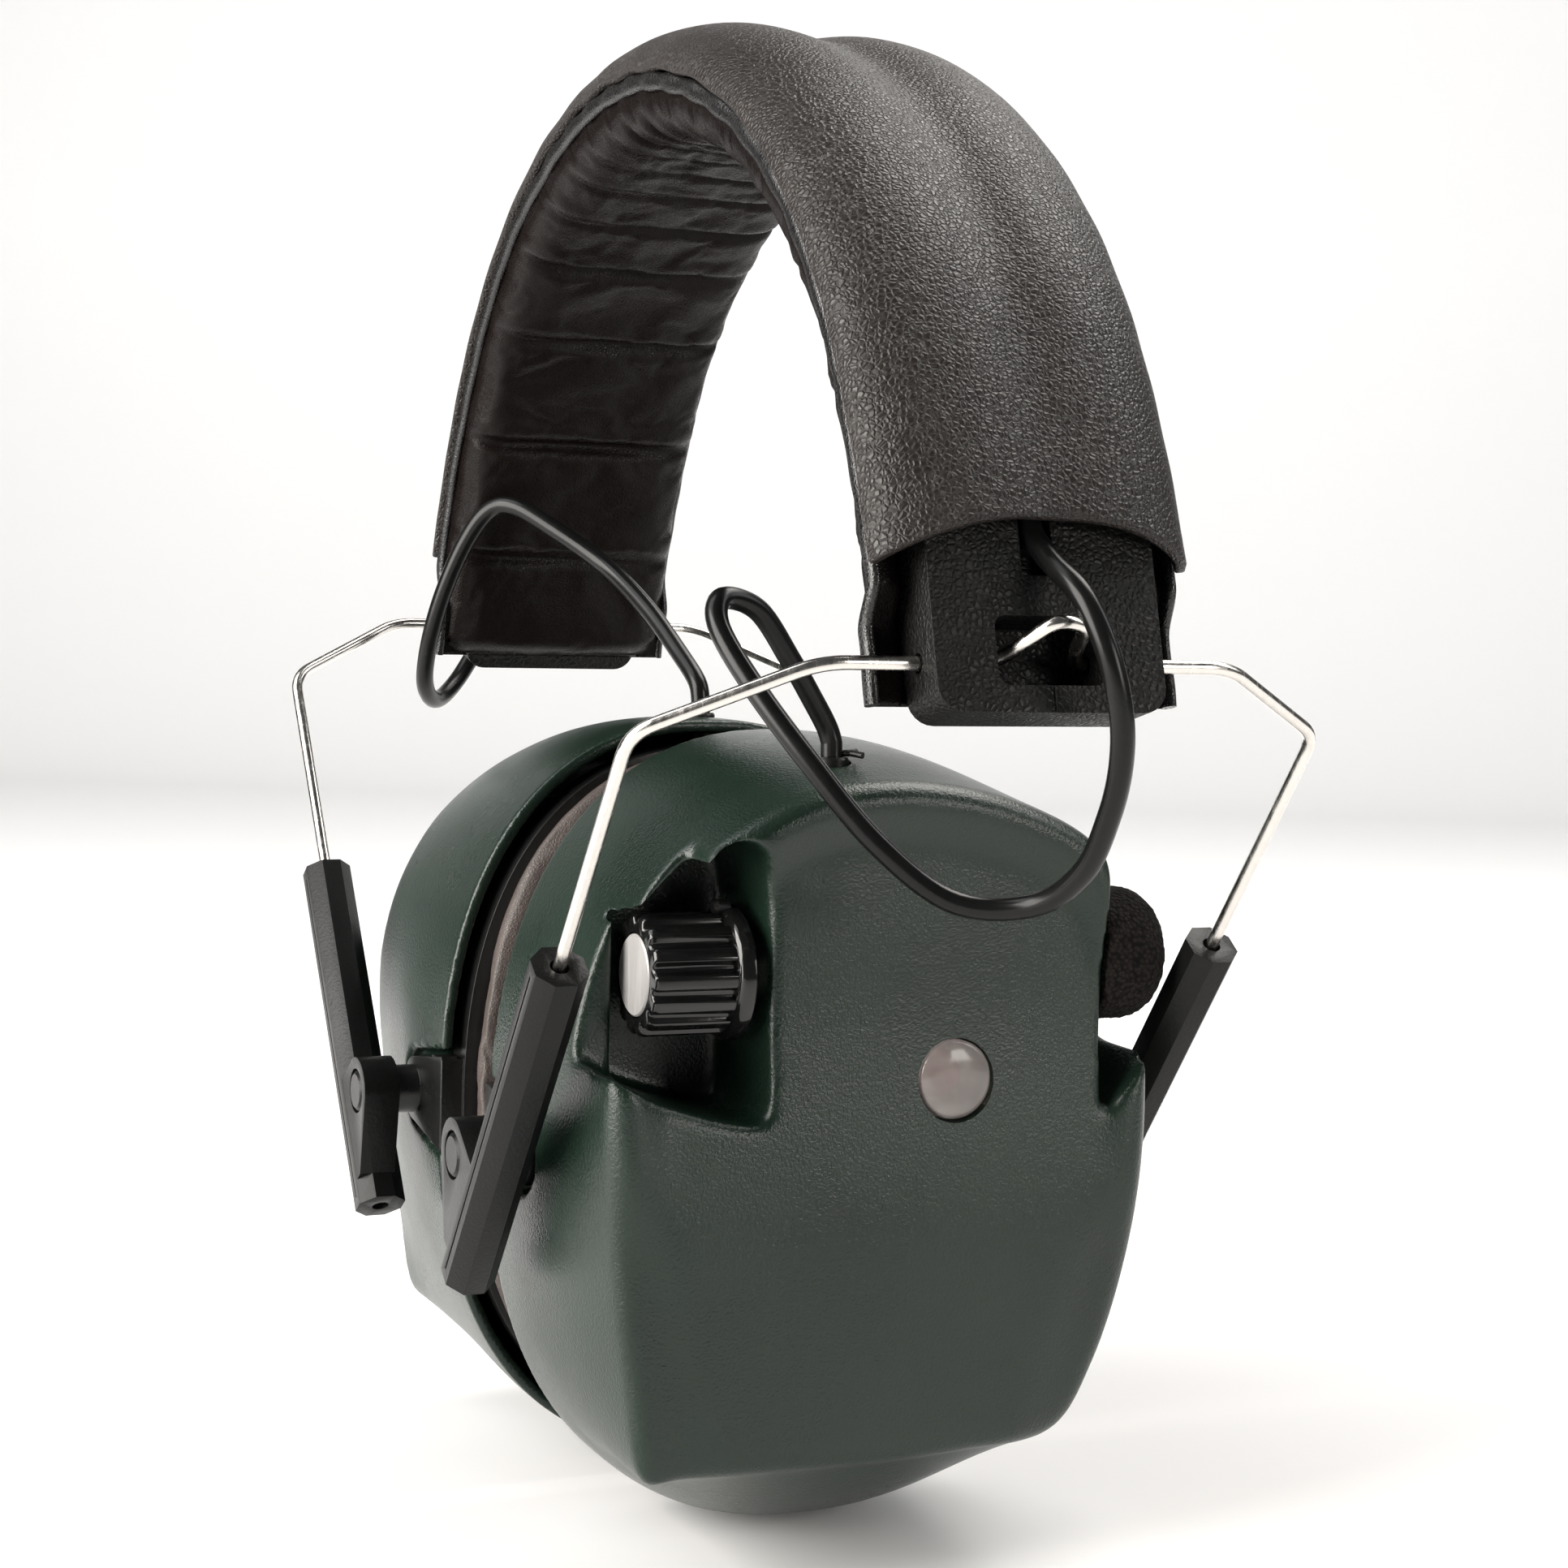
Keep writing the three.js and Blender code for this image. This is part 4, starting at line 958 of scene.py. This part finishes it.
WELL_EDGE = (
    (-15.6, -97.0), (-15.6, -108.0), (-15.6, -117.5), (-17.6, -120.0), (-26.5, -118.0), (-33.6, -114.8),
    (-38.5, -110.5), (-38.0, -103.5), (-35.0, -98.8), (-30.8, -95.4), (-26.8, -91.6), (-22.8, -88.0),
    (-19.6, -86.4), (-16.8, -88.8),
)
WELL_LIP = ((-23.4, -86.6), (-25.6, -92.0), (-31.0, -98.0), (-37.0, -104.0), (-46.0, -104.0), (-46.0, -84.0))


def well_outline(grow):
    """The rim of the knob well, grown outward by a wall."""
    outline = smooth_path(WELL_EDGE, 90, closed=True)
    middle = np.array([-25.0, -105.0])
    away = outline - middle
    reach = np.linalg.norm(away, axis=1, keepdims=True)
    return middle + away * (1 + grow * 1.2 / reach)


def cut_recesses(obj, side, grow):
    """Takes the microphone corner, the pivot recesses and the right cup's knob well out of a form."""
    top, inner = -83.0 + grow, 29.5 - grow
    mic = [(inner, top), (inner, -121.5 - grow), (37.0, -113.0 - grow), (70.0, -113.0 - grow), (70.0, top)]
    boolean(obj, prism_x("mic", mic, 31.5 - grow, RECESS_OUT))
    for end in (-1, 1):
        boolean(obj, pivot_tongue(4, 8 + grow, 5.4 + grow, (end * (35.6 - grow), end * 70)))
    if side == "right":
        deep = [(max(y, -31.6 - grow * 0.5), z) for y, z in well_outline(grow)]
        boolean(obj, prism_x("well", deep, 31.6 - grow, RECESS_OUT))
        boolean(obj, prism_x("well_mouth", well_outline(grow), 37.6 - grow, RECESS_OUT))
        boolean(obj, prism_x("well_lip", WELL_LIP, 42.5 - grow, RECESS_OUT))
    return obj


def cup_shell(side):
    """A moulded shell built as the right cup's; the caller mirrors the left one."""
    outer = cut_recesses(cup_form(0.0, SKIRT_X), side, 0.0)
    hollow = cut_recesses(cup_form(WALL, HOLLOW_SKIRT_X), side, WALL)
    boolean(outer, hollow)
    plate_room = prism_x("plate_room", [(y, z) for y, z in rim_outline(36.4, -77.2, -175.8)], 5, RIM_X)
    boolean(outer, plate_room)
    remeshed(outer, 0.55, 4, 29, 16)
    if side == "right":
        boolean(outer, tube("lens_hole", [(40, LENS_Y, LENS_Z), (60, LENS_Y, LENS_Z)], LENS_R + 0.25, 64))
    else:
        boolean(outer, box((40, 60), (-15, 15), (-150, -108)))
    x, y, z = LEAD_ENTRY[side]
    boolean(outer, tube("entry_hole", [(x, y, z - 6), (x, y, z + 6)], 2.4, 32))
    outer.name = f"{side}_cup_shell_moulded"
    outer.data.materials.clear()
    outer.data.materials.append(GREEN)
    shade(outer, 50)
    return outer


def battery_door():
    """The door takes its curve from the same form as the shell."""
    door = cup_form(0.0, SKIRT_X)
    boolean(door, cup_form(WALL, HOLLOW_SKIRT_X))
    boolean(door, box((44, 60), (-14.7, 14.7), (-149.7, -108.3)), "INTERSECT")
    for k in range(5):
        z = -112.5 - 1.5 * k
        boolean(door, box((48.6, 60), (-6, 6), (z - 0.35, z + 0.35)))
    bevelled(door, 0.3, 2, 40, 40)
    door.name = "battery_door_moulded"
    door.data.materials.clear()
    door.data.materials.append(GREEN)
    return door


# ---- rim plates, cushions and liners ------------------------------------------------------------
def oval(half_width, half_height, power, sides=128):
    return [
        superellipse(2 * math.pi * k / sides, half_width, half_height, CUP_MID_Z, power) for k in range(sides)
    ]


def pivot_tongue(root_x, root_half, end_r, y):
    """A tongue in the XZ plane with a round end about the pivot, between two depths along Y."""
    outline = [(root_x, PIVOT[1] + root_half), (root_x, PIVOT[1] - root_half)]
    for k in range(17):
        a = math.radians(-90 + k * 180 / 16)
        outline.append((PIVOT[0] + end_r * math.cos(a), PIVOT[1] + end_r * math.sin(a)))
    return loft("tongue", [[(px, depth, pz) for px, pz in outline] for depth in y])


def cushion_plate():
    obj = prism_x("right_cushion_plate_body", oval(35.1, 47.4, 2.3), 8.8, 14.2, PLATE_BLACK)
    boolean(obj, prism_x("hole", oval(22, 34, 2.2), 0, 30))
    for end in (-1, 1):
        y = (-38.0, -33.0) if end < 0 else (33.0, 38.0)
        boolean(obj, box((9.5, 14.0), y, (PIVOT[1] - 6, PIVOT[1] + 6)), "UNION")
        boolean(obj, pivot_tongue(9.6, 6.4, 4.4, (end * 35.9, end * 38.1)), "UNION")
        boss = tube("boss", [(PIVOT[0], end * 36.2, PIVOT[1]), (PIVOT[0], end * 41.1, PIVOT[1])], 3.3, 48)
        boolean(obj, boss, "UNION")
    boolean(obj, tube("pins", [(PIVOT[0], -60, PIVOT[1]), (PIVOT[0], 60, PIVOT[1])], 1.8, 32))
    return bevelled(obj, 0.45, 3, 40, 35)


def cushion_section(count):
    """The cushion's cross section: reach from 0 at the hole to 1 at the outer edge, and depth."""
    found = []
    for k in range(count):
        a = 2 * math.pi * k / count
        c, s = math.cos(a), math.sin(a)
        reach = 0.5 + 0.5 * math.copysign(abs(c) ** 0.5, c)
        found.append((reach, 4.75 + 3.55 * math.copysign(abs(s) ** 0.62, s)))
    return found


def ear_cushion():
    """A foam ring in vinyl: seams are held while air pressure swells the vinyl between them."""
    around, section = 200, 44
    points = np.zeros((around, section, 3))
    pins = np.zeros((around, section))
    shape = cushion_section(section)
    for i in range(around):
        a = 2 * math.pi * i / around
        yi, zi = superellipse(a, 17.6, 28.6, CUP_MID_Z, 2.2)
        yo, zo = superellipse(a, 34.4, 46.8, CUP_MID_Z, 2.3)
        for j, (reach, x) in enumerate(shape):
            seam = math.exp(-((x - 6.3) / 0.45) ** 2) * step(reach, 0.8, 0.95)
            wrinkle = 0.16 * ripple(i * 0.9, j * 0.35, 3.0) * step(1 - reach, 0.3, 1)
            f = reach - 0.045 * seam
            points[i, j] = (x + wrinkle, yi + (yo - yi) * f, zi + (zo - zi) * f)
            pins[i, j] = max(seam, 1.0 if x > 7.9 else 0.0)
    obj = grid("right_ear_cushion_soft", points, CUSHION_VINYL, close_u=True, close_v=True)
    outward(obj)
    inflate(obj, pins.reshape(-1), pressure=3.0, cap=1.1, spare=0.03)
    co = np.empty(len(obj.data.vertices) * 3)
    obj.data.vertices.foreach_get("co", co)
    co[0::3] = np.clip(co[0::3], 1.2 * MM, 8.6 * MM)
    obj.data.vertices.foreach_set("co", co)
    obj.data.update()
    modifier = obj.modifiers.new("fine", "SUBSURF")
    modifier.levels = modifier.render_levels = 1
    applied(obj)
    shade(obj)
    return obj


def foam_liner():
    obj = prism_x("right_foam_liner_cut", oval(21.7, 33.7, 2.2), 10.5, 21, FOAM)
    return bevelled(obj, 1.2, 4, 40, 60)


# ---- knob, lamp, microphone ---------------------------------------------------------------------
def volume_knob():
    """Fluted knob on a round skirt, with a rounded front edge."""
    flutes, per = 14, 12
    loops = []
    stations = ((0.0, 0.0), (11.2, 0.0), (11.7, 0.12), (12.0, 0.4), (12.1, 0.8))
    for depth, drop in stations:
        loop = []
        for k in range(flutes * per):
            a = 2 * math.pi * k / (flutes * per)
            wave = 0.5 + 0.5 * math.cos(flutes * a)
            groove = 0.95 * (1 - step(wave, 0.1, 0.62)) * step(depth, -1, 0.5)
            r = 7.35 - groove - drop
            loop.append((KNOB[0] + r * math.cos(a), -17.9 - depth, KNOB[1] + r * math.sin(a)))
        loops.append(loop)
    body = loft("volume_knob_fluted", loops, KNOB_BLACK, 50)
    profile = [(0, 0), (7.9, 0), (8.2, 0.3), (8.2, 1.5), (7.7, 2.1), (7.0, 2.3), (0, 2.3)]
    skirt = revolved("skirt", profile, 96, KNOB_BLACK, 40, along_y(KNOB[0], -17.4, KNOB[1], -1))
    boolean(body, skirt, "UNION")
    seat = tube("seat", [(KNOB[0], -29.3, KNOB[1]), (KNOB[0], -40, KNOB[1])], 5.1, 64)
    boolean(body, seat)
    shaft = tube("shaft", [(KNOB[0], -26, KNOB[1]), (KNOB[0], -10, KNOB[1])], 1.8, 32)
    boolean(body, shaft)
    shade(body, 40)
    body.data.materials.clear()
    body.data.materials.append(KNOB_BLACK)
    return body


def knob_cap():
    profile = [(0, 0), (4.9, 0), (4.9, 0.55), (4.7, 0.75), (0, 0.8)]
    return revolved("knob_cap_brushed", profile, 96, SILVER, 30, along_y(KNOB[0], -29.35, KNOB[1], -1))


def stop_pin():
    profile = [(0, 0), (1.0, 0), (1.0, 1.5), (0.7, 2.0), (0, 2.1)]
    return revolved("knob_stop_pin", profile, 24, BLACK, 30, along_y(41.0, -18.6, -95.0, -1))


def led_lens():
    profile = [(0, 0), (LENS_R, 0), (LENS_R, 2.6), (4.6, 3.0)]
    profile += [
        (4.4 * math.cos(math.radians(a)), 3.0 + 0.75 * math.sin(math.radians(a))) for a in range(10, 90, 16)
    ]
    profile.append((0, 3.75))
    return revolved("led_lens_clear", profile, 96, LENS, 40, along_x(FACE_X - 4.1, LENS_Y, LENS_Z))


def status_led():
    profile = [(0, 0), (2.9, 0), (2.9, 1), (2.5, 1), (2.5, 5.4)]
    profile += [
        (2.5 * math.cos(math.radians(a)), 5.4 + 2.5 * math.sin(math.radians(a))) for a in range(15, 90, 15)
    ]
    profile.append((0, 7.8))
    return revolved("status_led_domed", profile, 48, LED_RED, 40, along_x(37.4, LENS_Y, LENS_Z))


def mic_foam():
    """A domed foam plug with a pitted surface."""
    depth, r = 9.8, 8.5
    profile = [(0, 0)] + [(r - 0.5, 0.02), (r, 0.8), (r, depth - 4.4)]
    profile += [
        (r - 4.4 * (1 - math.cos(math.radians(a))) ** 0.9, depth - 4.4 + 4.3 * math.sin(math.radians(a)))
        for a in range(15, 90, 15)
    ]
    profile += [(2.6, depth - 0.03), (0, depth)]
    dense = [profile[0]]
    for (r0, h0), (r1, h1) in zip(profile, profile[1:]):
        count = max(1, round(math.hypot(r1 - r0, h1 - h0) / 0.5))
        dense += [(r0 + (r1 - r0) * k / count, h0 + (h1 - h0) * k / count) for k in range(1, count + 1)]
    obj = revolved("right_mic_foam_plug", dense, 110, FOAM, None, along_y(MIC[0], 29.8, MIC[1], 1))
    co = np.array([v.co for v in obj.data.vertices]) / MM
    normals = np.array([v.normal for v in obj.data.vertices])
    for i, (p, n) in enumerate(zip(co, normals)):
        pit = ripple(p[0] * 3.1 + p[1] * 2.3, p[2] * 3.3 - p[1] * 1.7, 5.0)
        obj.data.vertices[i].co = Vector((p - n * 0.16 * (1 + pit)) * MM)
    return obj


def lead_grommet(side):
    profile = [(0, -4), (2.1, -4), (2.1, 0.5), (1.9, 0.8), (0, 0.8)]
    place_at = Matrix.Translation(LEAD_ENTRY[side])
    return revolved(f"{side}_lead_grommet_turned", profile, 40, BLACK, 30, place_at)


def lead_tie():
    """The short cut ends of a tie beside the right cup's lead entry."""
    stubs = []
    for end in ((41.6, -1.6, -76.9), (38.6, -1.2, -76.6)):
        path = [(39.4, -3.4, -76.8), (40.0, -2.6, -76.7), end]
        stubs.append(tube("stub", smooth_path(path, 8), 0.42, 10, BLACK))
    return boolean(stubs[0], stubs[1], "UNION")


# ---- leads --------------------------------------------------------------------------------------
RIGHT_LEAD_ROUTE = (
    (0.0786, -0.0006, -0.0476), (0.0799, -0.0005, -0.0504), (0.0830, 0.0002, -0.0532),
    (0.0882, 0.0012, -0.0568), (0.0910, 0.0026, -0.0620), (0.0914, 0.0044, -0.0684),
    (0.0896, 0.0058, -0.0744), (0.0856, 0.0069, -0.0806), (0.0800, 0.0072, -0.0872),
    (0.0730, 0.0050, -0.0916), (0.0674, -0.0022, -0.0917), (0.0634, -0.0100, -0.0854),
    (0.0585, -0.0164, -0.0765), (0.0525, -0.0210, -0.0682), (0.0474, -0.0233, -0.0617),
    (0.0447, -0.0219, -0.0583), (0.0427, -0.0164, -0.0596), (0.0411, -0.0113, -0.0655),
    (0.0396, -0.0076, -0.0702), (0.0390, -0.0054, -0.0734), (0.0390, -0.0046, -0.0754),
)
LEFT_LEAD_ROUTE = (
    (-0.0786, -0.0006, -0.0476), (-0.0799, -0.0008, -0.0504), (-0.0830, -0.0010, -0.0532),
    (-0.0882, -0.0020, -0.0568), (-0.0910, -0.0044, -0.0620), (-0.0914, -0.0080, -0.0686),
    (-0.0884, -0.0126, -0.0742), (-0.0830, -0.0174, -0.0766), (-0.0776, -0.0208, -0.0736),
    (-0.0734, -0.0214, -0.0668), (-0.0702, -0.0202, -0.0590), (-0.0672, -0.0178, -0.0514),
    (-0.0644, -0.0150, -0.0466), (-0.0606, -0.0122, -0.0460), (-0.0554, -0.0078, -0.0492),
    (-0.0480, -0.0020, -0.0546), (-0.0384, 0.0012, -0.0608), (-0.0294, 0.0028, -0.0670),
    (-0.0240, 0.0034, -0.0708), (-0.0230, 0.0036, -0.0734),
)


def free_lead(name, route):
    """A lead as one mesh tube along its smooth route."""
    path = smooth_path(np.array(route) / MM, 150)
    inside = (path[-1][0], path[-1][1] + 0.1, path[-1][2] - 3.2)
    ended = [tuple(path[0] + (path[0] - path[3]) * 0.8)] + [tuple(p) for p in path] + [inside]
    obj = tube(name, ended, LEAD_R, 16, LEAD_BLACK, 50)
    return obj, [tuple(np.array(p) * MM) for p in ended]


# ---- assembly -----------------------------------------------------------------------------------
def place(obj, body, slot, *nodes):
    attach(obj, body)
    if nodes:
        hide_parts(*nodes)
    return obj


def both_sides(obj, part, body, slot, *nodes):
    """Places a right-hand piece and its mirror image; part and the node names carry no side."""
    left = mirrored(obj, f"left_{part}")
    obj.name = f"right_{part}"
    place(obj, f"right_{body}", slot, *[f"right_{n}" for n in nodes])
    place(left, f"left_{body}", slot, *[f"left_{n}" for n in nodes])
    return obj, left


def paint(node, material):
    data = NODES[node].data
    data.materials.clear()
    data.materials.append(material)


def build_sides():
    both_sides(end_block(), "end_block_moulded", "band_half", "black", "end_block")
    both_sides(yoke_wire(), "yoke_wire_bright", "yoke", "wire", "yoke_wire")
    sleeve, pin = rear_sleeve(), rear_pin()
    both_sides(mirror_y(sleeve, "s"), "front_sleeve_body", "sleeves", "black", "front_sleeve")
    both_sides(mirror_y(pin, "p"), "front_pin_body", "sleeves", "black", "front_pin")
    both_sides(sleeve, "rear_sleeve_body", "sleeves", "black", "rear_sleeve")
    both_sides(pin, "rear_pin_body", "sleeves", "black", "rear_pin")
    both_sides(cushion_plate(), "cushion_plate_body", "cup", "black", "cushion_plate")
    for cushion in both_sides(ear_cushion(), "ear_cushion_soft", "cup", "cushion", "ear_cushion"):
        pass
    both_sides(foam_liner(), "foam_liner_cut", "cup", "foam", "foam_liner")
    both_sides(mic_foam(), "mic_foam_plug", "cup", "foam", "mic_foam")
    place(lead_grommet("right"), "right_cup", "black", "right_lead_grommet")
    grommet = lead_grommet("left")
    place(mirrored(grommet, "left_lead_grommet_far"), "left_cup", "black", "left_lead_grommet")
    bpy.data.objects.remove(grommet)
    place(cup_shell("right"), "right_cup", "green", "right_cup_shell")
    left_shell = cup_shell("left")
    placed = mirrored(left_shell, "left_cup_shell_moulded_far")
    bpy.data.objects.remove(left_shell)
    place(placed, "left_cup", "green", "left_cup_shell")
    door = battery_door()
    placed = mirrored(door, "battery_door_far")
    bpy.data.objects.remove(door)
    place(placed, "battery_door", "green", "battery_door")


def build_small_pieces():
    place(volume_knob(), "knob", "knob", "volume_knob")
    place(knob_cap(), "knob", "silver", "knob_cap")
    place(led_lens(), "right_cup", "lens", "led_lens")
    place(status_led(), "right_cup", "red", "status_led")
    place(stop_pin(), "right_cup", "black")
    place(lead_tie(), "right_cup", "black")


def build_leads():
    for (side, sign), route in zip(SIDES, (RIGHT_LEAD_ROUTE, LEFT_LEAD_ROUTE)):
        lead, path = free_lead(f"{side}_lead_cord", route)
        place(lead, f"{side}_band_half", "lead", f"{side}_lead")


def paint_frame():
    for side, _ in SIDES:
        paint(f"{side}_band_lead", LEAD_BLACK)
        paint(f"{side}_speaker", BLACK)
        paint(f"{side}_mic_capsule", SILVER)
        paint(f"{side}_circuit_board", BOARD)
    for node, material in (
        ("potentiometer", BLACK), ("potentiometer_nut", SILVER), ("battery_tray", BLACK),
        ("battery_1", CELL), ("battery_2", CELL),
    ):
        paint(node, material)


# ---- stage --------------------------------------------------------------------------------------
FLOOR_Z = -178.0


def build_floor():
    """A pale floor that curves up into a backdrop behind the object, as wide as the view needs."""
    material, tree, bsdf = start_material("pale_floor", (0.88, 0.88, 0.88), 0.7)
    bsdf.inputs["Specular IOR Level"].default_value = 0.2
    near, far, half, bend, rise = -750.0, 1150.0, 950.0, 350.0, 700.0
    line = [(near + (far - near) * k / 6, 0.0) for k in range(7)]
    for a in range(5, 91, 5):
        turn = math.radians(a)
        line.append((far + bend * math.sin(turn), bend * (1 - math.cos(turn))))
    line.append((far + bend, bend + rise))
    direction, side = np.array([-0.912, 0.409]), np.array([0.409, 0.912])
    points = np.zeros((len(line), 3, 3))
    for i, (along, height) in enumerate(line):
        for j in range(3):
            at = direction * along + side * half * (j - 1)
            points[i, j] = (at[0], at[1], FLOOR_Z + height)
    grid("floor", points, material)


def soft_light(name, place_mm, target_mm, size, power, color=(1, 1, 1)):
    data = bpy.data.lights.new(name, "AREA")
    data.shape = "RECTANGLE"
    data.size, data.size_y = size
    data.energy = power
    data.color = color
    obj = link(bpy.data.objects.new(name, data))
    at, target = Vector(place_mm) * MM, Vector(target_mm) * MM
    obj.location = at
    obj.rotation_euler = (target - at).to_track_quat("-Z", "Y").to_euler()
    return obj


def build_lights():
    world = bpy.data.worlds.new("studio")
    bpy.context.scene.world = world
    world.use_nodes = True
    background = world.node_tree.nodes["Background"]
    background.inputs["Color"].default_value = (1, 1, 1, 1)
    background.inputs["Strength"].default_value = 0.07
    middle = (0, 0, -90)
    warm = (1.0, 0.965, 0.92)
    soft_light("key_left", (40, -780, 90), middle, (0.6, 0.8), 19, warm)
    soft_light("top_back", (-150, 450, 700), middle, (0.6, 0.5), 7, warm)
    soft_light("face", (620, 330, 60), middle, (0.2, 0.26), 1.5, warm)
    soft_light("backdrop_left", (-350, -550, 620), (-1350, 450, 60), (0.9, 0.9), 8)
    soft_light("backdrop_right", (150, 850, 620), (-1200, 950, 60), (0.9, 0.9), 8)


def build_camera():
    data = bpy.data.cameras.new("camera")
    camera = link(bpy.data.objects.new("camera", data))
    forward = Vector((-0.90983, 0.40843, -0.07344)).normalized()
    roll = math.radians(1.59)
    level = forward.cross(Vector((0, 0, 1))).normalized()
    upright = level.cross(forward)
    right = level * math.cos(roll) + upright * math.sin(roll)
    up = upright * math.cos(roll) - level * math.sin(roll)
    turn = Matrix((right, up, -forward)).transposed().to_4x4()
    camera.matrix_world = Matrix.Translation((0.3451, -0.1482, -0.0558)) @ turn
    data.sensor_width = 36.0
    data.lens = 63.95
    data.clip_start = 0.01
    data.clip_end = 50
    bpy.context.scene.camera = camera
    bpy.context.scene.view_settings.view_transform = "Standard"


build_camera()
build_leads()
build_headband()
build_sides()
build_small_pieces()
paint_frame()
build_floor()
build_lights()
